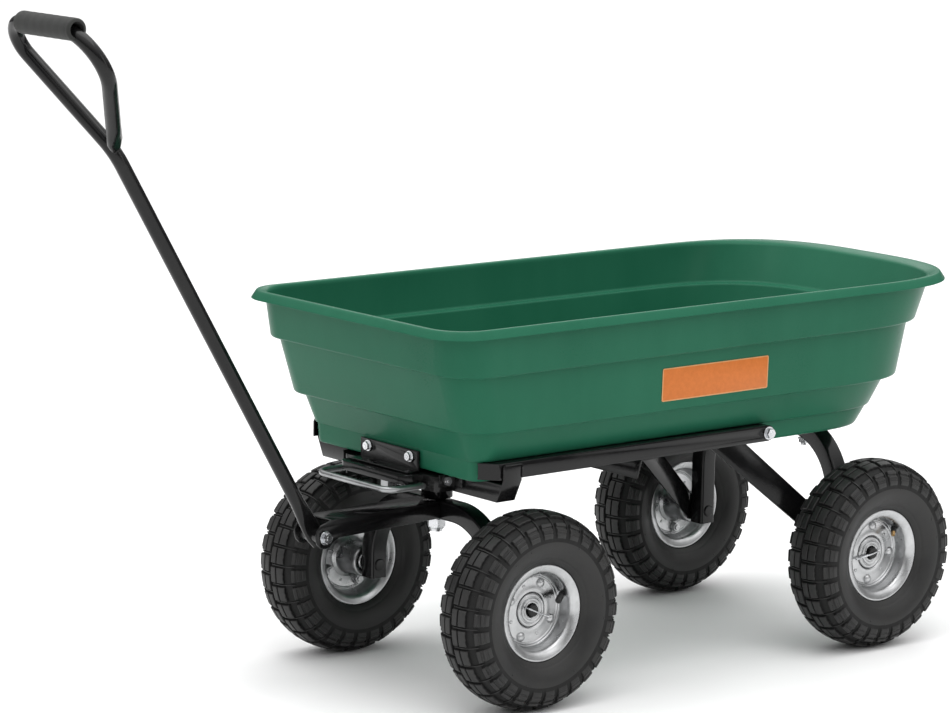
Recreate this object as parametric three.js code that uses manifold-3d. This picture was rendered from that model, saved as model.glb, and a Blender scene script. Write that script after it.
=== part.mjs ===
// Garden dump cart: a stepped poly tray on a folding steel frame, four pneumatic
// wheels, a steered front axle and a pull handle with a foam grip.
// Millimetres, +Z up, +X forward (towards the pull handle), +Y to the left.
// Lengths are laid out from the middle of the wheelbase; the finished group is
// then moved so that the origin is at the bottom centre of the whole cart.

import * as THREE from 'three';
import { mergeVertices } from 'three/addons/utils/BufferGeometryUtils.js';
import Module from 'manifold-3d';

const wasm = await Module();
wasm.setup();

// ---------------------------------------------------------------- dimensions
const GAP = 0.3; // clearance between neighbouring pieces

const WHEELBASE = 600;
const FRONT_X = WHEELBASE / 2;
const REAR_X = -WHEELBASE / 2;
const FRONT_TRACK_HALF = 193;
const REAR_TRACK_HALF = 202;
const CART_MIDDLE_X = 210.42; // middle of the cart's overall length

// Fastenings: M6 and M8 bolts with hexagon heads, as radii over the corners
const M6_RADIUS = 3;
const M6_HEAD_RADIUS = 5.8;
const M6_HOLE_RADIUS = 3.4;
const M8_RADIUS = 4;
const M8_HEAD_RADIUS = 7;
const M8_WASHER_RADIUS = 9;

// Wheels, as radius and distance from the wheel's centre plane
const TYRE_RADIUS = 130;
const TYRE_SEGMENTS = 36;
const RIM_SEGMENTS = 20;
const RIM_LIP_RADIUS = 63.5;
const RIM_SEAT_RADIUS = 50.8;
const RIM_SHEET = 2;
const RIM_LIP_OUT = 26.9;
const RIM_DISC_OUT = 2.4; // outer face of the outer half's disc
const RIM_JOINT = 0.1; // plane where the inner half's disc meets it
const HUB_RADIUS = 22;
const HUB_INNER = -45;
const HUB_OUTER = 5.8;
const AXLE_RADIUS = 8;
const AXLE_BORE_RADIUS = 8.4;
const AXLE_END = 9.6;
const SPLIT_PIN_OUT = 7.5; // plane of the split pin, between hub and axle end
const SPLIT_PIN_RADIUS = 1.2;
const SPLIT_PIN_HOLE_RADIUS = 1.6;
const VALVE = { from: [58, 4], to: [37, 18], radius: 3.2 };
const TUBE_SEGMENTS = 14;
const TUBE_WALL = 2.5;
const RIM_BOLT_CIRCLE = 38;
const RIM_BOLT_COUNT = 4;
const RIM_BOLT_HEAD_RADIUS = 6.8;
const RIM_BOLT_HEAD_HEIGHT = 4;
const RIM_BOLT_RADIUS = 4;
const RIM_NUT_HEIGHT = 7;
// How far each wheel has rolled from having its valve on top, in degrees
const WHEEL_CLOCK = { front_left: -70, front_right: 20, rear_left: -50, rear_right: 40 };

// Tray: each level is the outside of the wall at one height. The plan is straight
// sided with round front corners and a bowed rear end (a superellipse of this power).
const TRAY_WALL = 4;
const TRAY_FLOOR_Z = 300;
const FLOOR_BOSS_RADIUS = 12; // raised rounds under the bolt heads on the floor
const FLOOR_BOSS_RISE = 1.2;
const FLOOR_HOLE_RADIUS = 4.3;
const TRAY_LEDGE_Z = 326.9;
const TRAY_LEVELS = {
  floor: { z: TRAY_FLOOR_Z, front: 373, rear: 347, half: 168.5, corner: 16, power: 4.2 },
  floorEdge: { z: 303, front: 374.5, rear: 352, half: 171.5, corner: 18, power: 4 },
  lowBandTop: { z: 326.8, front: 376.5, rear: 376, half: 172, corner: 18, power: 3.7 },
  thirdStep: { z: TRAY_LEDGE_Z, front: 377, rear: 377.7, half: 180.1, corner: 24, power: 3.5 },
  thirdBandTop: { z: 367.6, front: 395, rear: 399.4, half: 194, corner: 42, power: 3.4 },
  secondStep: { z: 368, front: 406.2, rear: 413, half: 206.7, corner: 49.5, power: 3.4 },
  secondBandTop: { z: 443.6, front: 430, rear: 433, half: 209, corner: 50, power: 3.3 },
  firstStep: { z: 444, front: 439.2, rear: 444, half: 218.9, corner: 55, power: 3.2 },
  wallTop: { z: 502.5, front: 447, rear: 472, half: 220.5, corner: 52, power: 3.1 },
  lipRoot: { z: 502.8, front: 451.5, rear: 476, half: 223.3, corner: 52, power: 3.1 },
  lipInside: { z: 495.6, front: 461.6, rear: 493.5, half: 229, corner: 56, power: 3.1 },
  lipOutside: { z: 495.6, front: 464.3, rear: 496.2, half: 231.7, corner: 57.6, power: 3.1 },
  crestOutside: { z: 506.2, front: 457.6, rear: 490, half: 225.3, corner: 52, power: 3.1 },
  crest: { z: 507, front: 455.6, rear: 488, half: 223.3, corner: 50, power: 3.1 },
  crestInside: { z: 506.4, front: 448, rear: 480, half: 218, corner: 48, power: 3.1 },
};

// Frame: rails that the tray's lowest ledge rests on
const RAIL_OUTER_Y = 195;
const RAIL_INNER_Y = 173.2;
const RAIL_TOP_Z = TRAY_LEDGE_Z - GAP;
const RAIL_BOTTOM_Z = 305;
const RAIL_FRONT_X = 374; // on the inside; the end is mitred back to RAIL_MITRE_X on the outside
const RAIL_MITRE_X = 355;
const RAIL_WALL = 2.5;
const TIP_X = -111; // pivot that the tray tips about
const TIP_Z = 316;
const TIP_HOLE_RADIUS = 4.5;

const CROSS_TOP_Z = 299.4;
const CROSS_BOTTOM_Z = 274;
const CROSS_REAR_X = 320;
const CROSS_FRONT_X = 350;
const CROSS_WALL = 2.5;
const CROSS_BOTTOM_HALF = 184;
const CROSS_TAB_TOP_Z = 324;
const MID_CROSS_X = 111;
const MID_CROSS_DEPTH = 28;
const MID_CROSS_BOTTOM_Z = 277;

const FRONT_PLATE_X = 411;
const FRONT_PLATE_HALF = 70;
const FRONT_PLATE_WIDE_X = 379.5; // the plate is wider behind this
const FRONT_PLATE_WIDE_HALF = 99.5;
const FRONT_PLATE_WIDE_CORNER = 8;
const FRONT_PLATE_TOP_Z = 295.7;
const FRONT_PLATE_WALL = 2.7;
const FRONT_PLATE_CORNER = 14;
const EAR_BOTTOM_Z = 276;
const RELEASE_X = 385; // hinge of the D-ring handle
const RELEASE_Z = 282;
const RING_WIRE_RADIUS = 4.2;
const RING_HALF = 76;
const RING_FRONT_X = 441;

// Small angles beside the front plate
const CORNER_ANGLE = { y: 100, front: 378, foot: 18, low: 283, high: 299, sheet: 3 };
const CORNER_BOLT_AT = [367, 291]; // X and Z

const BRACKET_X = 377.8;
const BRACKET_SHEET = 2.5;
const BRACKET_HALF = 61;
const BRACKET_TOP_Z = 324;
const BRACKET_FOLD_Z = 296.4;
const BRACKET_BOLT_Y = 44;
const BRACKET_BOLT_Z = 315;

// Steered front axle
const ARCH_TUBE = 25;
const ARCH_WALL = 2;
const ARCH_BEND = 88;
const FRONT_ARCH_TOP_Z = 244;
const FRONT_ARCH_LEG_Y = 133;
const REAR_ARCH_TOP_Z = TRAY_FLOOR_Z - GAP;
const REAR_ARCH_LEG_Y = 137;
const ARCH_FOOT_Z = 112;
const KINGPIN_RADIUS = 8;
const KINGPIN_HEAD_RADIUS = 13;
const KING_PLATE_TOP_Z = 273.7;
const KING_PLATE_BOTTOM_Z = 269.7;

const TONGUE_HALF = 24;
const TONGUE_WALL = 3;
const TONGUE_TOP_Z = 243.7;
const EAR_RADIUS = 15;
const HANDLE_PIVOT_X = 501;
const HANDLE_PIVOT_Z = 218.6;
const HANDLE_ANGLE = THREE.MathUtils.degToRad(59.1);
const HANDLE_TUBE_RADIUS = 9.5;
const HANDLE_TUBE_WALL = 1.5;
const HANDLE_LENGTH = 783; // pivot to the middle of the grip
const LOOP_START = 604;
const LOOP_CORNER_Y = 118;
const LOOP_BEND = 30;
const GRIP_RADIUS = 14;
const GRIP_HALF = 60;

// Rear arch fastenings and braces
const ARCH_BOLT_Y = 68;
const BRACE_SHEET = 4;
const BRACE_FOOT = { x: -287, y: 151.9, low: 116, high: 156 };
const BRACE_HEAD = { x: -84, y: 97, low: 289.5 };
const BRACE_TOP_Z = TRAY_FLOOR_Z - GAP;
const BRACE_TAB_REAR_X = -128;
const BRACE_TAB_DEPTH = 26;

const LABEL = { halfLength: 94, low: 381.5, high: 425.5, sheet: 0.6 };

// ------------------------------------------------------------------ materials
const paint = { color: 0x1b1b1c, roughness: 0.32, metalness: 0.1 };
const MATERIALS = {
  poly: { color: 0x2e6b52, roughness: 0.42, metalness: 0 },
  blackPaint: paint,
  zinc: { color: 0xb9bcbe, roughness: 0.32, metalness: 0.9 },
  rubber: { color: 0x262626, roughness: 0.82, metalness: 0 },
  foam: { color: 0x4a4b4a, roughness: 0.95, metalness: 0 },
  label: { color: 0xe8761f, roughness: 0.5, metalness: 0 },
};

// -------------------------------------------------------------------- helpers
// Welds vertices, drops slivers and turns the faces outwards.
function clean(geometry) {
  const bare = geometry.clone();
  bare.deleteAttribute('normal');
  bare.deleteAttribute('uv');
  const welded = mergeVertices(bare, 1e-4);
  const position = welded.getAttribute('position');
  const source = welded.getIndex().array;
  const kept = [];
  let volume = 0;
  const a = new THREE.Vector3();
  const b = new THREE.Vector3();
  const c = new THREE.Vector3();
  for (let i = 0; i < source.length; i += 3) {
    const [p, q, r] = [source[i], source[i + 1], source[i + 2]];
    if (p === q || q === r || r === p) continue;
    kept.push(p, q, r);
    a.fromBufferAttribute(position, p);
    b.fromBufferAttribute(position, q);
    c.fromBufferAttribute(position, r);
    volume += a.dot(b.cross(c));
  }
  if (volume < 0) kept.reverse();
  welded.setIndex(kept);
  return welded;
}

function solid(geometry) {
  const closed = clean(geometry);
  const vertProperties = new Float32Array(closed.getAttribute('position').array);
  const triVerts = new Uint32Array(closed.getIndex().array);
  return new wasm.Manifold(new wasm.Mesh({ numProp: 3, vertProperties, triVerts }));
}

function surface(body) {
  const { vertProperties, triVerts } = body.getMesh();
  const geometry = new THREE.BufferGeometry();
  geometry.setAttribute('position', new THREE.BufferAttribute(new Float32Array(vertProperties), 3));
  geometry.setIndex(Array.from(triVerts));
  return geometry;
}

function join(...pieces) {
  return pieces.map(solid).reduce((whole, piece) => whole.add(piece));
}

function cut(body, ...tools) {
  return tools.map(solid).reduce((whole, tool) => whole.subtract(tool), body);
}

function box([x0, x1], [y0, y1], [z0, z1]) {
  const geometry = new THREE.BoxGeometry(x1 - x0, y1 - y0, z1 - z0);
  return geometry.translate((x0 + x1) / 2, (y0 + y1) / 2, (z0 + z1) / 2);
}

// A cylinder or prism of `sides` along one axis; at = the two other coordinates.
function rod(axis, radius, [from, to], [u, v], sides = 12) {
  const geometry = new THREE.CylinderGeometry(radius, radius, to - from, sides);
  const middle = (from + to) / 2;
  if (axis === 'x') return geometry.rotateZ(Math.PI / 2).translate(middle, u, v);
  if (axis === 'y') return geometry.translate(u, middle, v);
  return geometry.rotateX(Math.PI / 2).translate(u, v, middle);
}

// A closed ring turned about +Y from (radius, height) points.
function turned(profile, segments) {
  const points = [...profile, profile[0]].map(([r, h]) => new THREE.Vector2(r, h));
  return new THREE.LatheGeometry(points, segments);
}

// A flat outline drawn across one axis and given thickness along it.
function slab(axis, outline, [from, to], holes = []) {
  const shape = new THREE.Shape(outline.map(([u, v]) => new THREE.Vector2(u, v)));
  for (const hole of holes) {
    shape.holes.push(new THREE.Path(hole.map(([u, v]) => new THREE.Vector2(u, v))));
  }
  const geometry = new THREE.ExtrudeGeometry(shape, { depth: to - from, bevelEnabled: false });
  if (axis === 'z') return geometry.translate(0, 0, from);
  if (axis === 'y') return geometry.rotateX(Math.PI / 2).translate(0, to, 0);
  const [along, across, up] = [[0, 1, 0], [0, 0, 1], [1, 0, 0]].map((v) => new THREE.Vector3(...v));
  return geometry.applyMatrix4(new THREE.Matrix4().makeBasis(along, across, up)).translate(from, 0, 0);
}

function arc([u, v], radius, fromDegrees, toDegrees, steps) {
  return Array.from({ length: steps + 1 }, (_, i) => {
    const angle = THREE.MathUtils.degToRad(fromDegrees + ((toDegrees - fromDegrees) * i) / steps);
    return [u + radius * Math.cos(angle), v + radius * Math.sin(angle)];
  });
}

function ring(radius, sides) {
  return arc([0, 0], radius, 0, 360 - 360 / sides, sides - 1);
}

// A path through corners with round bends, sampled once per straight and
// several times per bend.
class BentPath extends THREE.Curve {
  constructor(corners, bend, bendSteps) {
    super();
    this.stations = [];
    const points = corners.map((corner) => new THREE.Vector3(...corner));
    const last = points.length - 1;
    const heading = (i) => points[i + 1].clone().sub(points[i]).normalize();
    this.stations.push({ point: points[0], tangent: heading(0) });
    for (let i = 1; i < last; i += 1) {
      const before = heading(i - 1);
      const after = heading(i);
      const turn = before.angleTo(after);
      const reach = bend * Math.tan(turn / 2);
      const inward = after.clone().sub(before).normalize();
      const centre = points[i].clone().addScaledVector(inward, bend / Math.cos(turn / 2));
      const start = points[i].clone().addScaledVector(before, -reach).sub(centre);
      const axis = before.clone().cross(after).normalize();
      for (let k = 0; k <= bendSteps; k += 1) {
        const angle = (turn * k) / bendSteps;
        this.stations.push({
          point: start.clone().applyAxisAngle(axis, angle).add(centre),
          tangent: before.clone().applyAxisAngle(axis, angle),
        });
      }
    }
    this.stations.push({ point: points[last], tangent: heading(last - 1) });
  }

  get steps() {
    return this.stations.length - 1;
  }

  station(t) {
    return this.stations[Math.round(t * this.steps)];
  }

  getPointAt(t) {
    return this.station(t).point.clone();
  }

  getTangentAt(t) {
    return this.station(t).tangent.clone();
  }
}

function tube(section, path, hole = null) {
  const shape = new THREE.Shape(section.map(([u, v]) => new THREE.Vector2(u, v)));
  if (hole) shape.holes.push(new THREE.Path(hole.map(([u, v]) => new THREE.Vector2(u, v))));
  return new THREE.ExtrudeGeometry(shape, { steps: path.steps, extrudePath: path });
}

function square(side) {
  const h = side / 2;
  return [[-h, -h], [h, -h], [h, h], [-h, h]];
}

// Closed skin through a stack of outlines with the same number of points.
function loft(rings) {
  const count = rings[0].length;
  const position = rings.flat().flat();
  const index = [];
  for (let level = 0; level + 1 < rings.length; level += 1) {
    for (let i = 0; i < count; i += 1) {
      const here = level * count + i;
      const next = level * count + ((i + 1) % count);
      index.push(here, next, next + count, here, next + count, here + count);
    }
  }
  const lid = (level, flip) => {
    const plan = rings[level].map(([x, y]) => new THREE.Vector2(x, y));
    for (const [a, b, c] of THREE.ShapeUtils.triangulateShape(plan, [])) {
      const [p, q, r] = [a, b, c].map((i) => level * count + i);
      index.push(...(flip ? [p, r, q] : [p, q, r]));
    }
  };
  lid(0, true);
  lid(rings.length - 1, false);
  const geometry = new THREE.BufferGeometry();
  geometry.setAttribute('position', new THREE.Float32BufferAttribute(position, 3));
  geometry.setIndex(index);
  return geometry;
}

const standing = (name) => new THREE.MeshStandardMaterial(MATERIALS[name]);

function piece(name, look, shape) {
  const geometry = shape instanceof THREE.BufferGeometry ? clean(shape) : surface(shape);
  const mesh = new THREE.Mesh(geometry, standing(look));
  mesh.name = name;
  return mesh;
}

function assembly(...parts) {
  const group = new THREE.Group();
  group.add(...parts.flat());
  return group;
}

const SIDES = [['left', 1], ['right', -1]];
const mirrored = (side, [a, b]) => (side > 0 ? [a, b] : [-b, -a]);

// ----------------------------------------------------------------------- tray
function trayOutline({ z, front, rear, half, corner, power }, inset = 0, height = z) {
  const cornerSteps = 6;
  const rearSteps = 11;
  const y = half - inset;
  const radius = Math.max(corner - inset, 3);
  const bow = 1.03 * y;
  const bowStart = inset - rear + bow;
  const left = arc([front - inset - radius, y - radius], radius, 0, 90, cornerSteps);
  for (let i = 0; i <= rearSteps; i += 1) {
    const t = ((Math.PI / 2) * i) / rearSteps;
    const along = Math.sin(t) ** (2 / power);
    const across = i === rearSteps ? 0 : Math.cos(t) ** (2 / power);
    left.push([bowStart - bow * along, y * across]);
  }
  const right = left.slice(0, -1).reverse().map(([x, side]) => [x, -side]);
  return [...left, ...right].map(([x, side]) => [x, side, height]);
}

function tray() {
  const L = TRAY_LEVELS;
  const outside = Object.values(L).map((level) => trayOutline(level));
  const insideLevels = [
    [L.wallTop, 0],
    [L.firstStep, TRAY_WALL],
    [L.secondBandTop, TRAY_WALL],
    [L.secondStep, TRAY_WALL],
    [L.thirdBandTop, TRAY_WALL],
    [L.thirdStep, TRAY_WALL],
    [L.lowBandTop, TRAY_WALL],
    [L.floorEdge, TRAY_WALL],
    [L.floor, TRAY_WALL],
  ];
  const inside = insideLevels.map(([level, rise]) => trayOutline(level, TRAY_WALL, level.z + rise));
  const bossTop = TRAY_FLOOR_Z + TRAY_WALL + FLOOR_BOSS_RISE;
  let shell = solid(loft([...outside, ...inside]));
  const holes = [];
  for (const [, side] of SIDES) {
    holes.push(rod('y', TIP_HOLE_RADIUS, mirrored(side, [160, 178]), [TIP_X, TIP_Z], 8));
    for (const at of [[REAR_X, side * ARCH_BOLT_Y], braceBoltAt(side)]) {
      shell = shell.add(solid(rod('z', FLOOR_BOSS_RADIUS, [TRAY_FLOOR_Z + 1, bossTop], at, 16)));
      holes.push(rod('z', FLOOR_HOLE_RADIUS, [TRAY_FLOOR_Z - 2, bossTop + 2], at, 8));
    }
  }
  return piece('tray', 'poly', cut(shell, ...holes, ...bracketHoles([360, 384])));
}

function label() {
  const wallLean = Math.atan2(TRAY_LEVELS.secondBandTop.half - TRAY_LEVELS.secondStep.half,
    TRAY_LEVELS.secondBandTop.z - TRAY_LEVELS.secondStep.z);
  const plate = new THREE.BoxGeometry(2 * LABEL.halfLength, LABEL.sheet, LABEL.high - LABEL.low);
  plate.translate(0, GAP + LABEL.sheet / 2, 0);
  const mesh = piece('label', 'label', plate);
  const middle = (LABEL.low + LABEL.high) / 2;
  const rise = middle - TRAY_LEVELS.secondStep.z;
  mesh.position.set(0, TRAY_LEVELS.secondStep.half + rise * Math.tan(wallLean), middle);
  mesh.rotation.x = -wallLean;
  return mesh;
}

function bracketHoles(through) {
  return SIDES.map(([, side]) => rod('x', M6_HOLE_RADIUS, through,
    [side * BRACKET_BOLT_Y, BRACKET_BOLT_Z], 8));
}

// Folded bracket on the tray's front wall: a forward lip that sits on the front
// plate and a tongue with a window that the release claw hooks into.
function trayBracket() {
  const face = [BRACKET_X, BRACKET_X + BRACKET_SHEET];
  const fold = [BRACKET_FOLD_Z, BRACKET_FOLD_Z + BRACKET_SHEET];
  const upright = box(face, [-BRACKET_HALF, BRACKET_HALF], [BRACKET_FOLD_Z, BRACKET_TOP_Z]);
  const lip = box([BRACKET_X, 398], [-BRACKET_HALF, BRACKET_HALF], fold);
  const tongue = box(face, [-15, 15], [258, 298]);
  const window = box([370, 386], [-9, 9], [262, 276]);
  const holes = bracketHoles([370, 386]);
  return piece('tray_bracket', 'blackPaint', cut(join(upright, lip, tongue), window, ...holes));
}

function bolt(name, axis, at, head, shank, shankRadius, headRadius) {
  const body = join(rod(axis, headRadius, head, at, 6), rod(axis, shankRadius, shank, at, 8));
  return piece(name, 'zinc', body);
}

function bracketBolts() {
  const outer = BRACKET_X + BRACKET_SHEET + GAP;
  return SIDES.map(([name, side]) => bolt(`bracket_bolt_${name}`, 'x',
    [side * BRACKET_BOLT_Y, BRACKET_BOLT_Z], [outer, outer + 4.5], [364, outer + 1],
    M6_RADIUS, M6_HEAD_RADIUS));
}

// --------------------------------------------------------- rear axle under tray
function axleArch(x, topZ, legY) {
  const middleZ = topZ - ARCH_TUBE / 2;
  const corners = [
    [x, -legY, ARCH_FOOT_Z],
    [x, -legY, middleZ],
    [x, legY, middleZ],
    [x, legY, ARCH_FOOT_Z],
  ];
  const path = new BentPath(corners, ARCH_BEND, 6);
  return tube(square(ARCH_TUBE), path, square(ARCH_TUBE - 2 * ARCH_WALL));
}

function stubAxles(x, legY, trackHalf) {
  const z = TYRE_RADIUS;
  return SIDES.map(([, side]) => rod('y', AXLE_RADIUS,
    mirrored(side, [legY - ARCH_TUBE / 2 - 2, trackHalf + AXLE_END]), [x, z], 12));
}

function pinHoles(x, trackHalf) {
  const through = [TYRE_RADIUS - 12, TYRE_RADIUS + 12];
  return SIDES.map(([, side]) => rod('z', SPLIT_PIN_HOLE_RADIUS, through,
    [x, side * (trackHalf + SPLIT_PIN_OUT)], 8));
}

function rearArch() {
  const body = join(axleArch(REAR_X, REAR_ARCH_TOP_Z, REAR_ARCH_LEG_Y),
    ...stubAxles(REAR_X, REAR_ARCH_LEG_Y, REAR_TRACK_HALF));
  const holes = SIDES.map(([, side]) => rod('z', 4.4, [262, 306], [REAR_X, side * ARCH_BOLT_Y], 8));
  return piece('rear_axle_arch', 'blackPaint', cut(body, ...holes, ...pinHoles(REAR_X, REAR_TRACK_HALF)));
}

// Bolts that hang through the tray floor, head inside and nut below.
function floorBolt(name, at, nutTop) {
  const headBottom = TRAY_FLOOR_Z + TRAY_WALL + FLOOR_BOSS_RISE + GAP;
  const body = join(rod('z', 8, [headBottom, headBottom + 3.5], at, 10),
    rod('z', M8_RADIUS, [nutTop - 10, headBottom + 1], at, 8),
    rod('z', 7.4, [nutTop - 6.5, nutTop], at, 6));
  return piece(name, 'zinc', body);
}

function braceBoltAt(side) {
  return [(BRACE_HEAD.x + BRACE_TAB_REAR_X) / 2, side * (BRACE_HEAD.y - 8)];
}

// A flat bar from the foot of the rear arch leg up to the tray floor, with its
// top folded into a horizontal tab.
function brace(name, side) {
  const run = BRACE_FOOT.x - BRACE_HEAD.x;
  const lean = (BRACE_FOOT.y - BRACE_HEAD.y) / run;
  const rise = (BRACE_TOP_Z - BRACE_FOOT.high) / (BRACE_TAB_REAR_X - BRACE_FOOT.x);
  const bar = slab('y', [
    [BRACE_FOOT.x, BRACE_FOOT.low],
    [BRACE_HEAD.x, BRACE_HEAD.low],
    [BRACE_HEAD.x, BRACE_TOP_Z],
    [BRACE_TAB_REAR_X, BRACE_TOP_Z],
    [BRACE_FOOT.x, BRACE_TOP_Z - rise * (BRACE_TAB_REAR_X - BRACE_FOOT.x)],
  ], [-BRACE_SHEET / 2, BRACE_SHEET / 2]);
  const tabSheet = [BRACE_TOP_Z - BRACE_SHEET, BRACE_TOP_Z];
  const tab = box([BRACE_TAB_REAR_X, BRACE_HEAD.x], [-BRACE_TAB_DEPTH, 0], tabSheet);
  const shear = new THREE.Matrix4();
  shear.set(
    1, 0, 0, 0,
    lean, 1, 0, BRACE_FOOT.y - lean * BRACE_FOOT.x,
    0, 0, 1, 0,
    0, 0, 0, 1,
  );
  const foot = slab('y', [
    [BRACE_FOOT.x + 1, BRACE_FOOT.low],
    [BRACE_FOOT.x + 1, BRACE_FOOT.high],
    ...arc([REAR_X, TYRE_RADIUS], 16, 80, 280, 6),
  ], [BRACE_FOOT.y - BRACE_SHEET / 2, BRACE_FOOT.y + BRACE_SHEET / 2]);
  const whole = join(bar.applyMatrix4(shear), tab.applyMatrix4(shear), foot);
  const eye = rod('y', AXLE_BORE_RADIUS, [140, 165], [REAR_X, TYRE_RADIUS], 12);
  const boltHole = rod('z', 4.4, [290, 304], braceBoltAt(1), 8);
  const geometry = surface(cut(whole, eye, boltHole));
  if (side < 0) geometry.scale(1, -1, 1);
  return piece(name, 'blackPaint', geometry);
}

function trayAssembly() {
  const bolts = SIDES.map(([name, side]) => [
    floorBolt(`arch_bolt_${name}`, [REAR_X, side * ARCH_BOLT_Y], 268.6),
    floorBolt(`brace_bolt_${name}`, braceBoltAt(side), BRACE_TOP_Z - BRACE_SHEET - GAP),
    brace(`brace_${name}`, side),
  ]);
  return assembly(tray(), label(), trayBracket(), bracketBolts(), rearArch(), bolts.flat(),
    wheels('rear', REAR_X, REAR_TRACK_HALF));
}

// ---------------------------------------------------------------------- frame
function sideRail(name, side) {
  const radius = (RAIL_TOP_Z - RAIL_BOTTOM_Z) / 2;
  const middle = (RAIL_TOP_Z + RAIL_BOTTOM_Z) / 2;
  const outline = (shrink) => [
    [RAIL_FRONT_X, RAIL_BOTTOM_Z + shrink],
    [RAIL_FRONT_X, RAIL_TOP_Z - shrink],
    ...arc([TIP_X, middle], radius - shrink, 90, 270, 6),
  ];
  const inner = [[RAIL_FRONT_X + 5, RAIL_BOTTOM_Z + RAIL_WALL], [RAIL_FRONT_X + 5, RAIL_TOP_Z - RAIL_WALL],
    ...outline(RAIL_WALL).slice(2)];
  const block = solid(slab('y', outline(0), [RAIL_INNER_Y, RAIL_OUTER_Y]));
  const hollow = slab('y', inner, [RAIL_INNER_Y - 5, RAIL_OUTER_Y - RAIL_WALL]);
  const hole = rod('y', TIP_HOLE_RADIUS, [180, 200], [TIP_X, TIP_Z], 8);
  const slope = (RAIL_FRONT_X - RAIL_MITRE_X) / (RAIL_OUTER_Y - RAIL_INNER_Y);
  const mitre = slab('z', [
    [RAIL_FRONT_X + 5 * slope, RAIL_INNER_Y - 5],
    [RAIL_FRONT_X + 20, RAIL_INNER_Y - 5],
    [RAIL_FRONT_X + 20, RAIL_OUTER_Y + 5],
    [RAIL_MITRE_X - 5 * slope, RAIL_OUTER_Y + 5],
  ], [RAIL_BOTTOM_Z - 5, RAIL_TOP_Z + 5]);
  const geometry = surface(cut(block, hollow, hole, mitre));
  if (side < 0) geometry.scale(1, -1, 1);
  return piece(name, 'blackPaint', geometry);
}

// Pressed tub that ties the rails together at the front: a bent strap with a
// front and a rear wall and a tab up the outside of each rail.
function frontCrossmember() {
  const tabOut = RAIL_OUTER_Y + GAP + CROSS_WALL;
  const tabIn = RAIL_OUTER_Y + GAP;
  const outside = [[tabOut, CROSS_TAB_TOP_Z], [tabOut, 303], [CROSS_BOTTOM_HALF, CROSS_BOTTOM_Z]];
  const inside = [
    [CROSS_BOTTOM_HALF - 1.5, CROSS_BOTTOM_Z + CROSS_WALL],
    [tabIn, 304.2],
    [tabIn, CROSS_TAB_TOP_Z],
  ];
  const flip = (points) => points.map(([y, z]) => [-y, z]).reverse();
  const section = [...outside, ...flip(outside), ...flip(inside), ...inside];
  const strap = slab('x', section, [CROSS_REAR_X, CROSS_FRONT_X]);
  const webHalf = [[CROSS_BOTTOM_HALF - 1, CROSS_BOTTOM_Z + 1], [193.4, CROSS_TOP_Z]];
  const web = [...webHalf, ...flip(webHalf)];
  const front = slab('x', web, [CROSS_FRONT_X - CROSS_WALL, CROSS_FRONT_X]);
  const rear = slab('x', web, [CROSS_REAR_X, CROSS_REAR_X + CROSS_WALL]);
  return piece('front_crossmember', 'blackPaint', join(strap, front, rear));
}

// Angle that ties the rails together under the middle of the tray.
function midCrossmember() {
  const under = RAIL_BOTTOM_Z - GAP;
  const web = slab('x', [
    [181, MID_CROSS_BOTTOM_Z], [190, under], [175, under], [172.5, CROSS_TOP_Z],
    [-172.5, CROSS_TOP_Z], [-175, under], [-190, under], [-181, MID_CROSS_BOTTOM_Z],
  ], [MID_CROSS_X - CROSS_WALL, MID_CROSS_X]);
  const rearX = MID_CROSS_X - MID_CROSS_DEPTH;
  const flange = box([rearX, MID_CROSS_X - 1], [-172, 172], [CROSS_TOP_Z - CROSS_WALL, CROSS_TOP_Z]);
  const lugs = SIDES.map(([, side]) => box([rearX, MID_CROSS_X - 1], mirrored(side, [175, 190]),
    [under - CROSS_WALL, under]));
  return piece('mid_crossmember', 'blackPaint', join(web, flange, ...lugs));
}

function frontPlate() {
  const rearX = CROSS_FRONT_X + GAP;
  const under = FRONT_PLATE_TOP_Z - FRONT_PLATE_WALL;
  const inner = FRONT_PLATE_WIDE_HALF - FRONT_PLATE_WALL;
  const [wideX, wideY, wideCorner] = [FRONT_PLATE_WIDE_X, FRONT_PLATE_WIDE_HALF, FRONT_PLATE_WIDE_CORNER];
  const [cornerX, cornerY] = [FRONT_PLATE_X - FRONT_PLATE_CORNER, FRONT_PLATE_HALF - FRONT_PLATE_CORNER];
  const plan = (shrink) => [
    [rearX, -wideY + shrink],
    ...arc([wideX - wideCorner, -wideY + wideCorner], wideCorner - shrink, -90, 0, 3),
    [wideX - shrink, -FRONT_PLATE_HALF + shrink],
    ...arc([cornerX, -cornerY], FRONT_PLATE_CORNER - shrink, -90, 0, 4),
    ...arc([cornerX, cornerY], FRONT_PLATE_CORNER - shrink, 0, 90, 4),
    [wideX - shrink, FRONT_PLATE_HALF - shrink],
    ...arc([wideX - wideCorner, wideY - wideCorner], wideCorner - shrink, 0, 90, 3),
    [rearX, wideY - shrink],
  ];
  const block = solid(slab('z', plan(0), [EAR_BOTTOM_Z, FRONT_PLATE_TOP_Z]));
  const hollow = slab('z', plan(FRONT_PLATE_WALL), [EAR_BOTTOM_Z - 5, under]);
  const open = box([rearX - 5, rearX + 5], [-inner, inner], [EAR_BOTTOM_Z - 5, under]);
  const slot = box([374.5, 383.5], [-18, 18], [280, 300]);
  const hinge = rod('y', RING_WIRE_RADIUS + GAP, [-80, 80], [RELEASE_X, RELEASE_Z], 10);
  const skirtTrim = box([397, 420], [-80, 80], [EAR_BOTTOM_Z - 5, 284]);
  const boltHoles = SIDES.map(([, side]) => rod('y', M6_HOLE_RADIUS,
    mirrored(side, [wideY - 4, wideY + 1]), CORNER_BOLT_AT, 8));
  return piece('front_plate', 'blackPaint', cut(block, hollow, open, slot, hinge, skirtTrim, ...boltHoles));
}

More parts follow.
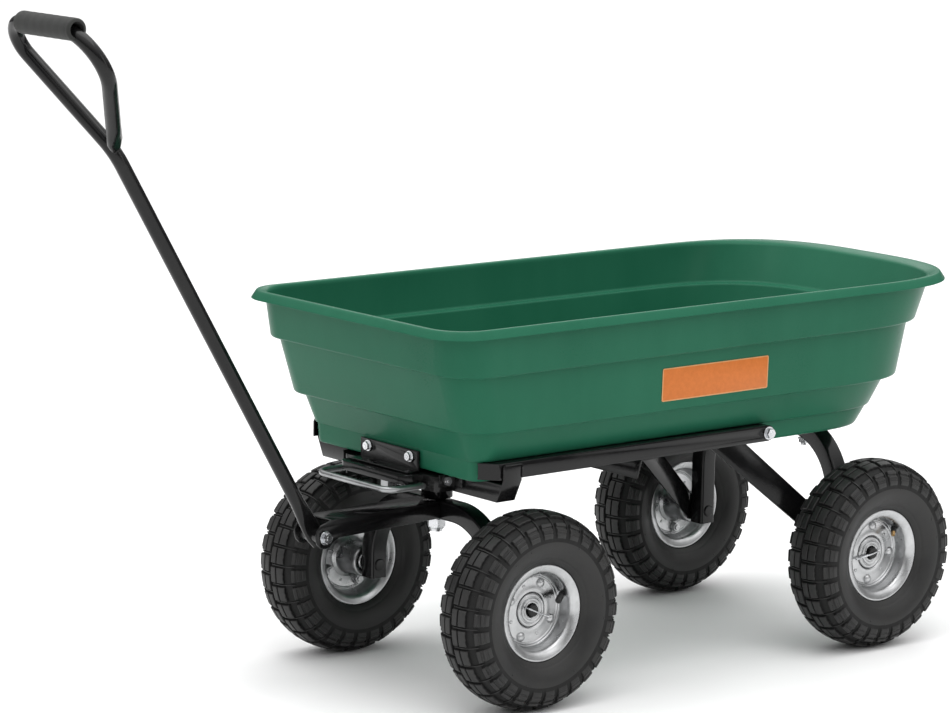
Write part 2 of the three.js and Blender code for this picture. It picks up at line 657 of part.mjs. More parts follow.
// Swivel plate under the front cross-member with the boss that the kingpin runs in.
function kingPlate() {
  const plate = box([276, 352], [-45, 45], [KING_PLATE_BOTTOM_Z, KING_PLATE_TOP_Z]);
  const boss = rod('z', 21, [FRONT_ARCH_TOP_Z + 1, KING_PLATE_BOTTOM_Z + 1], [FRONT_X, 0], 16);
  const bore = rod('z', KINGPIN_RADIUS + 0.4, [230, 290], [FRONT_X, 0], 12);
  return piece('king_plate', 'blackPaint', cut(join(plate, boss), bore));
}

function kingpin() {
  const headBottom = KING_PLATE_TOP_Z + GAP;
  return bolt('kingpin', 'z', [FRONT_X, 0], [headBottom, headBottom + 10], [199, headBottom + 1],
    KINGPIN_RADIUS, KINGPIN_HEAD_RADIUS);
}

function kingpinNut() {
  const top = FRONT_ARCH_TOP_Z - ARCH_TUBE - GAP;
  const at = [FRONT_X, 0];
  const washer = rod('z', 15, [top - 2.5, top], at, 14);
  const hexagon = rod('z', KINGPIN_HEAD_RADIUS, [top - 14, top - 1.5], at, 6);
  const bore = rod('z', KINGPIN_RADIUS + GAP, [190, 230], at, 12);
  return piece('kingpin_nut', 'zinc', cut(join(washer, hexagon), bore));
}

function tipBolt(name, side) {
  const head = RAIL_OUTER_Y + GAP;
  const nutInside = 160;
  const body = join(
    rod('y', M8_WASHER_RADIUS, mirrored(side, [head, head + 1.8]), [TIP_X, TIP_Z], 12),
    rod('y', M8_HEAD_RADIUS, mirrored(side, [head + 1, head + 7]), [TIP_X, TIP_Z], 6),
    rod('y', M8_RADIUS, mirrored(side, [nutInside, head + 1]), [TIP_X, TIP_Z], 8),
    rod('y', M8_HEAD_RADIUS, mirrored(side, [nutInside + 1, 167.4]), [TIP_X, TIP_Z], 6),
  );
  return piece(name, 'zinc', body);
}

function tipSpacer(name, side) {
  const span = mirrored(side, [172.3, RAIL_OUTER_Y - RAIL_WALL - GAP]);
  const sleeve = solid(rod('y', 7.5, span, [TIP_X, TIP_Z], 10));
  const bore = rod('y', M8_RADIUS + GAP, mirrored(side, [165, 200]), [TIP_X, TIP_Z], 8);
  return piece(name, 'zinc', cut(sleeve, bore));
}

// Small angle beside the front plate, with a bolt across it.
function cornerAngle(name, side) {
  const rearX = CROSS_FRONT_X + GAP;
  const [inner, sheet] = [CORNER_ANGLE.y, CORNER_ANGLE.sheet];
  const angle = slab('z', [
    [rearX, inner],
    [CORNER_ANGLE.front, inner],
    [CORNER_ANGLE.front, inner + sheet],
    [rearX + sheet, inner + sheet],
    [rearX + sheet, inner + CORNER_ANGLE.foot],
    [rearX, inner + CORNER_ANGLE.foot],
  ], [CORNER_ANGLE.low, CORNER_ANGLE.high]);
  const hole = rod('y', M6_HOLE_RADIUS, [90, 112], CORNER_BOLT_AT, 8);
  const geometry = surface(cut(solid(angle), hole));
  if (side < 0) geometry.scale(1, -1, 1);
  return piece(name, 'blackPaint', geometry);
}

function cornerBolt(name, side) {
  const body = join(
    rod('y', M6_HEAD_RADIUS, mirrored(side, [103.3, 108]), CORNER_BOLT_AT, 6),
    rod('y', M6_RADIUS, mirrored(side, [97, 105]), CORNER_BOLT_AT, 8),
  );
  return piece(name, 'zinc', body);
}

// D-ring that turns on its own rear bar, with the claw that holds the tray down.
function releaseRing() {
  const corners = [
    [RELEASE_X, -RING_HALF, RELEASE_Z], [RING_FRONT_X, -RING_HALF, RELEASE_Z],
    [RING_FRONT_X, RING_HALF, RELEASE_Z], [RELEASE_X, RING_HALF, RELEASE_Z],
  ];
  const bow = tube(ring(RING_WIRE_RADIUS, 8), new BentPath(corners, 18, 4));
  const bar = rod('y', RING_WIRE_RADIUS, [-RING_HALF - 3, RING_HALF + 3], [RELEASE_X, RELEASE_Z], 8);
  const [rear, step, front] = [RELEASE_X - 10.5, RELEASE_X - 2.5, RELEASE_X + 3];
  const [low, notch, top] = [RELEASE_Z - 13.5, RELEASE_Z - 8.5, RELEASE_Z + 1];
  const hook = [[front, top], [step, top], [step, notch], [rear, notch], [rear, low], [front, low]];
  const claw = slab('y', hook, [-7.5, 7.5]);
  return piece('release_ring', 'zinc', join(bow, bar, claw));
}

function releaseSpring() {
  const turns = 2.5;
  const radius = 6.6;
  const points = Array.from({ length: 8 * turns + 1 }, (_, i) => {
    const angle = (Math.PI / 4) * i;
    const [across, up] = [radius * Math.cos(angle), radius * Math.sin(angle)];
    return new THREE.Vector3(RELEASE_X + across, 30 + i * 0.45, RELEASE_Z + up);
  });
  const coil = new THREE.CatmullRomCurve3(points);
  const wire = new THREE.Shape(ring(0.8, 5).map(([u, v]) => new THREE.Vector2(u, v)));
  return piece('release_spring', 'zinc', new THREE.ExtrudeGeometry(wire, { steps: 20, extrudePath: coil }));
}

function frontFrame() {
  const pairs = SIDES.map(([name, side]) => [
    sideRail(`side_rail_${name}`, side),
    tipBolt(`tip_bolt_${name}`, side),
    tipSpacer(`tip_spacer_${name}`, side),
    cornerAngle(`corner_angle_${name}`, side),
    cornerBolt(`corner_bolt_${name}`, side),
  ]);
  return assembly(pairs.flat(), frontCrossmember(), midCrossmember(), frontPlate(), kingPlate(),
    kingpin(), releaseRing(), releaseSpring());
}

// ---------------------------------------------------------- steered front axle
function frontArch() {
  const body = join(axleArch(FRONT_X, FRONT_ARCH_TOP_Z, FRONT_ARCH_LEG_Y),
    ...stubAxles(FRONT_X, FRONT_ARCH_LEG_Y, FRONT_TRACK_HALF));
  const pin = rod('z', KINGPIN_RADIUS + 0.4, [200, 260], [FRONT_X, 0], 12);
  return piece('front_axle_arch', 'blackPaint', cut(body, pin, ...pinHoles(FRONT_X, FRONT_TRACK_HALF)));
}

// Folded channel from the arch forward to the ears that carry the handle.
function tongue() {
  const rearX = FRONT_X + ARCH_TUBE / 2 + GAP;
  const profile = [
    [rearX, 221],
    [479, 216],
    ...arc([HANDLE_PIVOT_X, HANDLE_PIVOT_Z], EAR_RADIUS, 210, 360, 5),
    ...arc([HANDLE_PIVOT_X, HANDLE_PIVOT_Z + 3], EAR_RADIUS, 0, 60, 2),
    [490, TONGUE_TOP_Z - 3],
    [rearX, TONGUE_TOP_Z],
  ];
  const block = solid(slab('y', profile, [-TONGUE_HALF, TONGUE_HALF]));
  const inside = TONGUE_HALF - TONGUE_WALL;
  const hollow = slab('y', [
    [rearX - 5, 190],
    [540, 190],
    [540, 250],
    [491, 250],
    [491, TONGUE_TOP_Z - 6],
    [rearX - 5, TONGUE_TOP_Z - 3],
  ], [-inside, inside]);
  const hole = rod('y', M8_RADIUS + GAP, [-40, 40], [HANDLE_PIVOT_X, HANDLE_PIVOT_Z], 8);
  return piece('tongue', 'blackPaint', cut(block, hollow, hole));
}

function handleBolt() {
  const at = [HANDLE_PIVOT_X, HANDLE_PIVOT_Z];
  const body = join(
    rod('y', M8_WASHER_RADIUS, [TONGUE_HALF + GAP, TONGUE_HALF + 2], at, 12),
    rod('y', M8_HEAD_RADIUS, [TONGUE_HALF + 1, TONGUE_HALF + 7], at, 6),
    rod('y', M8_RADIUS, [-TONGUE_HALF - 11, TONGUE_HALF + 3], at, 8),
  );
  return piece('handle_bolt', 'zinc', body);
}

function handleNut() {
  const at = [HANDLE_PIVOT_X, HANDLE_PIVOT_Z];
  const nut = solid(rod('y', M8_HEAD_RADIUS, [-TONGUE_HALF - 8, -TONGUE_HALF - GAP], at, 6));
  return piece('handle_nut', 'zinc', cut(nut, rod('y', M8_RADIUS + GAP, [-40, -20], at, 8)));
}

function frontAxle() {
  return assembly(frontArch(), kingpinNut(), tongue(), handleBolt(), handleNut(),
    wheels('front', FRONT_X, FRONT_TRACK_HALF));
}

// --------------------------------------------------------------------- handle
// Drawn along +X from its pivot, then turned up to its resting angle.
function handleTube() {
  const halfLoop = (radius, start) => {
    const corners = [[start, 0, 0], [HANDLE_LENGTH, LOOP_CORNER_Y, 0], [HANDLE_LENGTH, 0, 0]];
    return tube(ring(radius, 10), new BentPath(corners, LOOP_BEND, 6));
  };
  const rods = (radius, shaftFrom, shaftTo) => {
    const left = solid(halfLoop(radius, LOOP_START));
    const right = solid(halfLoop(radius, LOOP_START).scale(1, -1, 1));
    return solid(rod('x', radius, [shaftFrom, shaftTo], [0, 0], 10)).add(left).add(right);
  };
  const outside = rods(HANDLE_TUBE_RADIUS, -12, LOOP_START + 4);
  const bore = rods(HANDLE_TUBE_RADIUS - HANDLE_TUBE_WALL, -20, LOOP_START + 2);
  const sleeve = rod('y', 9.2, [-20.6, 20.6], [0, 0], 12);
  const boltHole = rod('y', M8_RADIUS + 0.4, [-30, 30], [0, 0], 8);
  const drain = rod('z', 2.5, [-15, 0], [24, 0], 6);
  const whole = outside.subtract(bore).add(solid(sleeve));
  return piece('handle_tube', 'blackPaint', cut(whole, boltHole, drain));
}

function grip() {
  const bore = HANDLE_TUBE_RADIUS + GAP;
  const sleeve = turned([
    [bore, -GRIP_HALF],
    [GRIP_RADIUS, -GRIP_HALF],
    [GRIP_RADIUS, GRIP_HALF],
    [bore, GRIP_HALF],
  ], 20);
  return piece('foam_grip', 'foam', sleeve.translate(HANDLE_LENGTH, 0, 0));
}

function handle() {
  const group = assembly(handleTube(), grip());
  group.position.set(HANDLE_PIVOT_X, 0, HANDLE_PIVOT_Z);
  group.rotation.y = -HANDLE_ANGLE;
  return group;
}

// --------------------------------------------------------------------- wheels

function tyre() {
  const half = [
    [TYRE_RADIUS, 17], [124, 33], [98, 41.5], [69, 32], [64.8, 24.4],
    [RIM_SEAT_RADIUS + 0.9, 24.4], [RIM_SEAT_RADIUS + 0.9, 17], [98, 33.5], [121, 20],
  ];
  const far = half.map(([r, h]) => [r, -h]).reverse();
  return turned([...half, ...far], TYRE_SEGMENTS);
}

function valve(radius) {
  const [r0, h0] = VALVE.from;
  const [r1, h1] = VALVE.to;
  const length = Math.hypot(r1 - r0, h1 - h0);
  const stem = new THREE.CylinderGeometry(radius, radius, length, 8);
  stem.rotateX(Math.atan2(r1 - r0, h1 - h0));
  return stem.translate(0, (h0 + h1) / 2, (r0 + r1) / 2);
}

// Hollow ring, open to the outside through the bore of its valve.
function innerTube() {
  const skin = (half) => {
    const far = half.map(([r, h]) => [r, -h]).reverse();
    return turned([...half, ...far], TUBE_SEGMENTS);
  };
  const outside = skin([[54, 11], [90, 28.5], [114, 19]]);
  const air = skin([[54 + TUBE_WALL, 10], [90, 28.5 - TUBE_WALL], [114 - TUBE_WALL, 18]]);
  const ringOnly = cut(solid(outside), air);
  return cut(ringOnly.add(cut(solid(valve(VALVE.radius)), air)), valve(VALVE.radius - 2));
}

function rimHalf(side) {
  const flange = side * (RIM_LIP_OUT - RIM_SHEET);
  const face = side > 0 ? RIM_DISC_OUT : RIM_JOINT - RIM_SHEET;
  const disc = [face, face - side * RIM_SHEET];
  const well = RIM_SEAT_RADIUS - RIM_SHEET;
  const hole = HUB_RADIUS + 0.5;
  return turned([
    [RIM_LIP_RADIUS, flange],
    [RIM_LIP_RADIUS, side * RIM_LIP_OUT],
    [well, side * RIM_LIP_OUT],
    [well, disc[0]],
    [hole, disc[0]],
    [hole, disc[1]],
    [RIM_SEAT_RADIUS, disc[1]],
    [RIM_SEAT_RADIUS, flange],
  ], RIM_SEGMENTS);
}

function rimBoltPlaces() {
  return Array.from({ length: RIM_BOLT_COUNT }, (_, i) => {
    const angle = ((i + 0.5) * 2 * Math.PI) / RIM_BOLT_COUNT;
    return [RIM_BOLT_CIRCLE * Math.cos(angle), RIM_BOLT_CIRCLE * Math.sin(angle)];
  });
}

function rimOuter() {
  const middle = RIM_DISC_OUT - 1;
  const nutTop = RIM_JOINT - RIM_SHEET - GAP;
  const bolts = rimBoltPlaces().flatMap((at) => [
    rod('y', RIM_BOLT_HEAD_RADIUS, [middle, RIM_DISC_OUT + RIM_BOLT_HEAD_HEIGHT], at, 6),
    rod('y', RIM_BOLT_RADIUS, [nutTop - RIM_NUT_HEIGHT - 1.5, middle], at, 6),
    rod('y', RIM_BOLT_HEAD_RADIUS, [nutTop - RIM_NUT_HEIGHT, nutTop], at, 6),
  ]);
  return cut(join(rimHalf(1), ...bolts), valve(VALVE.radius + 1));
}

function rimInner() {
  const holes = rimBoltPlaces().map((at) => rod('y', RIM_BOLT_RADIUS + 0.6, [-4, 4], at, 6));
  return cut(solid(rimHalf(-1)), ...holes);
}

function hub() {
  return turned([
    [AXLE_BORE_RADIUS, HUB_INNER],
    [HUB_RADIUS, HUB_INNER],
    [HUB_RADIUS, HUB_OUTER],
    [AXLE_BORE_RADIUS, HUB_OUTER],
  ], 14);
}

// Split pin through the end of the axle, its two legs drawn as one.
function splitPin() {
  const [y, half] = [SPLIT_PIN_OUT, SPLIT_PIN_RADIUS];
  const legs = rod('z', SPLIT_PIN_RADIUS, [-13, 12], [0, y], 6);
  const eye = box([-3.5, 3.5], [y - half, y + half], [11, 17]);
  return join(legs, eye);
}

function wheel(name, x, side, trackHalf) {
  const parts = assembly(
    piece(`${name}_tyre`, 'rubber', tyre()),
    piece(`${name}_inner_tube`, 'rubber', innerTube()),
    piece(`${name}_rim_outer`, 'zinc', rimOuter()),
    piece(`${name}_rim_inner`, 'zinc', rimInner()),
    piece(`${name}_hub`, 'zinc', hub()),
  );
  parts.rotation.y = THREE.MathUtils.degToRad(WHEEL_CLOCK[name]);
  const place = assembly(parts, piece(`${name}_split_pin`, 'zinc', splitPin()));
  place.position.set(x, side * trackHalf, TYRE_RADIUS);
  if (side < 0) place.rotation.z = Math.PI;
  return place;
}

function wheels(end, x, trackHalf) {
  return SIDES.map(([name, side]) => wheel(`${end}_${name}`, x, side, trackHalf));
}

const cart = assembly(trayAssembly(), frontFrame(), frontAxle(), handle());
cart.position.x = -CART_MIDDLE_X;

export default cart;
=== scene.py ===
import math

import bmesh
import bpy
from mathutils import Matrix, Vector


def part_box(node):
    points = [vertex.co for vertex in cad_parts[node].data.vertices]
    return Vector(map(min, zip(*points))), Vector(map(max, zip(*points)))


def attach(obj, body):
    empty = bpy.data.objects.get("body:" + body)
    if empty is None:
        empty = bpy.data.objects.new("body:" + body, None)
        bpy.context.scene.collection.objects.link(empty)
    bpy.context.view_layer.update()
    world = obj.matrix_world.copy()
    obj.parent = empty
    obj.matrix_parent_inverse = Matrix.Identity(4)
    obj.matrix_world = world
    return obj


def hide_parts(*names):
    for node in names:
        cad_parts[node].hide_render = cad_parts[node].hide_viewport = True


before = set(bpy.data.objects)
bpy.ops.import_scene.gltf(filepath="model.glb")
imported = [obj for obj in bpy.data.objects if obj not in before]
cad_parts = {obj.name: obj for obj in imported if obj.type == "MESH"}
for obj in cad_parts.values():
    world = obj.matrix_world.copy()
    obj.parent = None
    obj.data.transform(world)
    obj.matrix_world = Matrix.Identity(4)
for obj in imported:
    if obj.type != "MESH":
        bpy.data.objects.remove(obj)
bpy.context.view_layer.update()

# ------------------------------------------------------------------ frame
# Shapes are written in millimetres from the middle of the wheelbase.
MM = 0.001
FRONT_X, REAR_X = 300, -300  # the axles
pin_low, pin_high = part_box("kingpin")
MIDDLE_X = (pin_low.x + pin_high.x) / 2 - FRONT_X * MM
TO_ROW = Matrix.Translation((MIDDLE_X, 0, 0)) @ Matrix.Scale(MM, 4)

AXLE_Z, AXLE_RADIUS = 130, 8
FRONT_TRACK, REAR_TRACK = 193, 202  # from the middle to the plane between the rim halves
AXLE_END = 9.6  # how far an axle's end is beyond that plane
TIP_PIVOT = Vector((-111, 0, 316))
HANDLE_PIVOT = Vector((501, 0, 218.6))
RELEASE_PIVOT = Vector((385, 0, 282))
SIDES = (("left", 1), ("right", -1))


# ---------------------------------------------------------------- materials
class Nodes:
    """Short names for the nodes that the finishes are made of."""

    def __init__(self, name):
        self.material = bpy.data.materials.new(name)
        self.material.use_nodes = True
        self.tree = self.material.node_tree
        self.shader = self.tree.nodes["Principled BSDF"]
        self.place = self.tree.nodes.new("ShaderNodeTexCoord").outputs["Object"]

    def new(self, kind, **values):
        """A new node, with values for the inputs of those names."""
        node = self.tree.nodes.new("ShaderNode" + kind)
        for name, value in values.items():
            self.give(node.inputs[name.replace("_", " ")], value)
        return node

    def link(self, a, b):
        self.tree.links.new(a, b)

    def give(self, socket, value):
        """Sets an input to a number or a colour, or links it to another node's output."""
        if isinstance(value, (int, float)):
            socket.default_value = value
        elif isinstance(value, tuple):
            socket.default_value = value if socket.type == "VECTOR" else (*value, 1)
        else:
            self.link(value, socket)

    def stretched(self, sx, sy, sz):
        return self.new("Mapping", Scale=(sx, sy, sz), Vector=self.place).outputs["Vector"]

    def noise(self, scale, detail=3.0, rough=0.55, vector=None):
        node = self.new("TexNoise", Scale=scale, Detail=detail, Roughness=rough,
                        Vector=vector or self.place)
        return node.outputs["Fac"]

    def cells(self, scale):
        return self.new("TexVoronoi", Scale=scale, Vector=self.place).outputs["Distance"]

    def math(self, kind, *values):
        node = self.new("Math")
        node.operation = kind
        for socket, value in zip(node.inputs, values):
            self.give(socket, value)
        return node.outputs[0]

    def span(self, value, low, high, from_low=0.3, from_high=0.7):
        node = self.new("MapRange", Value=value, From_Min=from_low, From_Max=from_high,
                        To_Min=low, To_Max=high)
        return node.outputs["Result"]

    def blend(self, amount, a, b):
        """A mix of two colours."""
        node = self.new("Mix")
        node.data_type = "RGBA"
        for index, value in ((0, amount), (6, a), (7, b)):
            self.give(node.inputs[index], value)
        return node.outputs[2]

    def split(self):
        """The outputs X, Y and Z of the place on the piece."""
        return self.new("SeparateXYZ", Vector=self.place).outputs

    def turned(self, share):
        """A vector that only changes with the distance from the axle and, less, along it."""
        place = self.split()
        squares = [self.math("MULTIPLY", place[axis], place[axis]) for axis in "XZ"]
        radius = self.math("SQRT", self.math("ADD", *squares))
        along = self.math("MULTIPLY", place["Y"], share)
        return self.new("CombineXYZ", X=radius, Y=along).outputs["Vector"]

    def colour(self, value):
        self.link(value, self.shader.inputs["Base Color"])

    def rough(self, value):
        self.link(value, self.shader.inputs["Roughness"])

    def bumps(self, *layers):
        """Each layer is (height, distance in metres, strength)."""
        normal = None
        for height, distance, strength in layers:
            node = self.new("Bump", Distance=distance, Strength=strength, Height=height)
            if normal is not None:
                self.link(normal, node.inputs["Normal"])
            normal = node.outputs["Normal"]
        self.link(normal, self.shader.inputs["Normal"])

    def fixed(self, **values):
        """Sets the shader's uniform values and hands back the material."""
        for name, value in values.items():
            self.shader.inputs[name.replace("_", " ")].default_value = value
        return self.material


def poly_finish():
    n = Nodes("poly")
    cloud = n.noise(5, 4)
    highlight_streaks = n.noise(26, 3, 0.5, n.stretched(1, 1, 0.16))
    speck = n.noise(700, 2)
    base = n.blend(n.span(cloud, 0, 1), (0.0140, 0.110, 0.061), (0.0180, 0.127, 0.071))
    # Upright streaks of lighter green over the base colour: painted highlights.
    with_painted_highlights = n.blend(n.span(highlight_streaks, 0, 0.2), base, (0.030, 0.155, 0.092))
    n.colour(n.blend(n.span(speck, 0, 0.16), with_painted_highlights, (0.008, 0.076, 0.042)))
    n.rough(n.math("ADD", n.span(cloud, 0.24, 0.32), n.span(speck, 0, 0.08)))
    n.bumps((n.noise(7, 2), 0.0016, 0.5), (speck, 0.00008, 0.6))
    return n.fixed(Specular_IOR_Level=0.1)


def paint_finish():
    n = Nodes("black_paint")
    dust = n.noise(18, 5, 0.65)
    peel = n.noise(420, 2)
    amount = n.span(dust, 0, 1, 0.42, 0.78)
    n.colour(n.blend(amount, (0.0050, 0.0050, 0.0054), (0.0105, 0.0103, 0.010)))
    n.rough(n.math("ADD", n.span(dust, 0.10, 0.22), n.span(peel, 0, 0.04)))
    n.bumps((n.noise(60, 2), 0.0003, 0.35), (peel, 0.00005, 0.5))
    return n.fixed(Specular_IOR_Level=0.3)


def zinc_finish(name, bright, dark, low, high, turned=0.0):
    """Plated metal, its roughness between low and high; turned is the strength of its rings."""
    n = Nodes(name)
    cloud = n.noise(30, 5, 0.6)
    grain = n.noise(260, 4, 0.7)
    n.colour(n.blend(n.span(cloud, 0, 1, 0.35, 0.72), dark, bright))
    n.rough(n.math("ADD", n.span(cloud, low, high), n.span(grain, 0, 0.1)))
    layers = [(grain, 0.00006, 0.5)]
    if turned:
        rings = n.noise(1500, 2, 0.6, n.turned(0.35))
        layers += [(rings, 0.00005, turned), (n.noise(38, 2), 0.0007, 0.35)]
    n.bumps(*layers)
    return n.fixed(Metallic=1.0)


def rubber_finish(name, dark, light, low, high):
    n = Nodes(name)
    dust = n.noise(22, 5, 0.6)
    fine = n.noise(900, 2)
    film = n.math("MULTIPLY", n.span(dust, 0.1, 1, 0.35, 0.7), n.span(fine, 0.5, 1))
    n.colour(n.blend(film, dark, light))
    n.rough(n.math("ADD", n.span(dust, low, high), n.span(fine, 0, 0.06)))
    n.bumps((n.noise(120, 3), 0.0003, 0.35), (fine, 0.00008, 0.7))
    return n.fixed(Specular_IOR_Level=0.42)


def foam_finish():
    n = Nodes("foam")
    pores = n.cells(1300)
    broad = n.noise(45, 4)
    tone = n.blend(n.span(broad, 0, 1), (0.023, 0.024, 0.023), (0.037, 0.038, 0.036))
    n.colour(n.blend(n.span(pores, 0.45, 0, 0.0, 0.45), tone, (0.012, 0.012, 0.012)))
    n.rough(n.span(broad, 0.78, 0.92))
    n.bumps((broad, 0.0006, 0.4), (pores, 0.0003, 0.55))
    return n.fixed(Specular_IOR_Level=0.3, Sheen_Weight=0.1, Sheen_Roughness=0.5)


def label_finish():
    """A plain orange decal with a thin pale border."""
    n = Nodes("label")
    low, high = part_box("label")
    place = n.split()
    edges = []
    for axis, start, end in (("X", low.x, high.x), ("Z", low.z, high.z)):
        off = n.math("ABSOLUTE", n.math("SUBTRACT", place[axis], (start + end) / 2))
        edges.append(n.math("SUBTRACT", (end - start) / 2, off))
    border = n.span(n.math("MINIMUM", *edges), 1, 0, 1.2 * MM, 1.6 * MM)
    ink = n.noise(160, 4)
    orange = n.blend(n.span(ink, 0, 1), (0.54, 0.145, 0.022), (0.61, 0.170, 0.030))
    pale = n.blend(n.span(ink, 0, 1), (0.60, 0.30, 0.12), (0.66, 0.34, 0.15))
    n.colour(n.blend(border, orange, pale))
    n.rough(n.span(ink, 0.36, 0.46))
    n.bumps((n.noise(9, 2), 0.0008, 0.3), (n.noise(800, 2), 0.00004, 0.4))
    return n.fixed(Specular_IOR_Level=0.3)


POLY = poly_finish()
PAINT = paint_finish()
ZINC = zinc_finish("zinc_plate", (0.80, 0.81, 0.82), (0.55, 0.56, 0.58), 0.16, 0.30)
RIM = zinc_finish("rim_zinc", (0.60, 0.605, 0.61), (0.38, 0.385, 0.39), 0.20, 0.33, 0.6)
DULL = zinc_finish("dull_zinc", (0.44, 0.445, 0.45), (0.27, 0.275, 0.28), 0.22, 0.36)
BRASS = zinc_finish("brass", (0.62, 0.43, 0.22), (0.42, 0.27, 0.12), 0.28, 0.42)
TYRE = rubber_finish("tyre", (0.0085, 0.0085, 0.0088), (0.0225, 0.0218, 0.0205), 0.36, 0.54)
# A darker copy of the tyre's rubber for the faces deep in the grooves: painted shade.
PAINTED_GROOVE_SHADE = rubber_finish("tyre_groove_painted_shade", (0.003, 0.003, 0.0031), (0.008, 0.0078, 0.0074), 0.62, 0.8)
TUBE = rubber_finish("tube_rubber", (0.008, 0.008, 0.008), (0.016, 0.016, 0.016), 0.38, 0.5)
FOAM = foam_finish()
LABEL = label_finish()
SLOTS = {
    "poly": POLY, "black_paint": PAINT, "zinc_plate": ZINC, "rim_zinc": RIM,
    "tyre": TYRE, "tube_rubber": TUBE, "foam": FOAM, "label": LABEL,
}


# ------------------------------------------------------------------ shapes
class Shape:
    """Points and faces, gathered before they become one piece."""

    def __init__(self):
        self.points = []
        self.faces = []
        self.looks = []

    def add(self, part, matrix=None, look=0):
        points, faces = part
        start = len(self.points)
        if matrix is not None:
            points = [matrix @ Vector(p) for p in points]
        self.points.extend(Vector(p) for p in points)
        self.faces.extend([start + i for i in face] for face in faces)
        self.looks.extend(look if isinstance(look, list) else [look] * len(faces))
        return self

    def mesh(self, name, finishes, sharp=38):
        mesh = bpy.data.meshes.new(name)
        mesh.from_pydata(self.points, [], self.faces)
        for finish in finishes:
            mesh.materials.append(finish)
        mesh.polygons.foreach_set("material_index", self.looks)
        tidy(mesh, sharp)
        return mesh


def tidy(mesh, sharp):
    work = bmesh.new()
    work.from_mesh(mesh)
    bmesh.ops.recalc_face_normals(work, faces=work.faces)
    work.to_mesh(mesh)
    work.free()
    mesh.shade_smooth()
    mesh.set_sharp_from_angle(angle=math.radians(sharp))
    mesh.update()


def in_scene(name, data):
    holder = bpy.data.objects.new(name, data)
    bpy.context.scene.collection.objects.link(holder)
    return holder


def place(name, mesh, body, slot, node=None, matrix=Matrix.Identity(4), bevel=0.0):
    """Puts a mesh on a body; node is the CAD node that it stands for."""
    piece = in_scene(name, mesh)
    piece.matrix_world = matrix
    if bevel:
        edge = piece.modifiers.new("edges", "BEVEL")
        edge.width = bevel
        edge.segments = 2
        edge.limit_method = "ANGLE"
        edge.angle_limit = math.radians(38)
    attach(piece, body)
    if node:
        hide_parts(node)
    return piece


def show(name, shape, body, slot, node=None, sharp=38, turn=Matrix.Identity(4), finish=None,
         bevel=0.0):
    """A piece whose mesh is in metres in the row frame, so that its finish keeps real sizes."""
    mesh = shape.mesh(name, [finish or SLOTS[slot]], sharp)
    mesh.transform(TO_ROW @ turn)
    return place(name, mesh, body, slot, node, bevel=bevel)


def rise(height):
    return Matrix.Translation((0, 0, height))


def mirrored(point, s):
    """A point of the left side (s = 1), or its mirror image on the right (s = -1)."""
    return Vector((point[0], point[1] * s, point[2]))


def skin(rings, count, closed=False):
    """Faces between rings of count points; closed joins the last ring to the first."""
    faces = []
    for i in range(rings if closed else rings - 1):
        j = (i + 1) % rings
        for k in range(count):
            m = (k + 1) % count
            faces.append([i * count + k, i * count + m, j * count + m, j * count + k])
    return faces


def lids(rings, count):
    """A face across the first ring and one across the last."""
    return [list(range(count))[::-1], [(rings - 1) * count + k for k in range(count)]]


def circle(radius, sides):
    turns = [2 * math.pi * k / sides for k in range(sides)]
    return [(radius * math.cos(a), radius * math.sin(a)) for a in turns]


def lathe(profile, segments, closed=True, axis="y"):
    """Turns (radius, height) points about an axis; closed joins the last to the first."""
    points = [(u, h, v) if axis == "y" else (u, v, h)
              for r, h in profile for u, v in circle(r, segments)]
    faces = skin(len(profile), segments, closed)
    return points, faces if closed else faces + lids(len(profile), segments)


def rounded(profile, radii, steps=4, size=lambda gap: gap.length, even=True):
    """Replaces each corner of an open line of points by a short curve.

    size measures a side; an even curve reaches as far along both of its sides.
    """
    line = [Vector(p) for p in profile]
    out = [line[0]]
    for i in range(1, len(line) - 1):
        here, gaps = line[i], (line[i - 1] - line[i], line[i + 1] - line[i])
        radius = radii[i] if isinstance(radii, list) else radii
        reaches = [min(radius, 0.48 * size(gap)) for gap in gaps]
        if even:
            reaches = [min(reaches)] * 2
        a, b = (here + gap * (reach / size(gap)) for gap, reach in zip(gaps, reaches))
        for k in range(steps + 1):
            t = k / steps
            out.append(a * (1 - t) ** 2 + here * 2 * t * (1 - t) + b * t ** 2)
    out.append(line[-1])
    return out


def disc_ring(profile, radius, segments, axis="y"):
    """A solid of revolution from an open outline that ends on the axis at both ends."""
    return lathe([(max(r, 0.01), h) for r, h in rounded(profile, radius)], segments, False, axis)


def bent(corners, bend, steps):
    """Points and headings along straight runs with round bends."""
    corners = [Vector(c) for c in corners]
    bends = bend if isinstance(bend, (list, tuple)) else [bend] * len(corners)
    stations = [(corners[0], (corners[1] - corners[0]).normalized())]
    for i in range(1, len(corners) - 1):
        before = (corners[i] - corners[i - 1]).normalized()
        after = (corners[i + 1] - corners[i]).normalized()
        turn = before.angle(after)
        inward = (after - before).normalized()
        centre = corners[i] + inward * (bends[i] / math.cos(turn / 2))
        arm = corners[i] - before * (bends[i] * math.tan(turn / 2)) - centre
        axis = before.cross(after).normalized()
        for k in range(steps + 1):
            spin = Matrix.Rotation(turn * k / steps, 3, axis)
            stations.append((centre + spin @ arm, spin @ before))
    stations.append((corners[-1], (corners[-1] - corners[-2]).normalized()))
    return stations


def filled(stations, spacing):
    """Adds stations along the straight runs, no further apart than spacing."""
    out = [stations[0]]
    for (p, t), (q, u) in zip(stations, stations[1:]):
        count = max(1, math.ceil((q - p).length / spacing))
        for k in range(1, count + 1):
            out.append((p.lerp(q, k / count), t.lerp(u, k / count).normalized()))
    return out


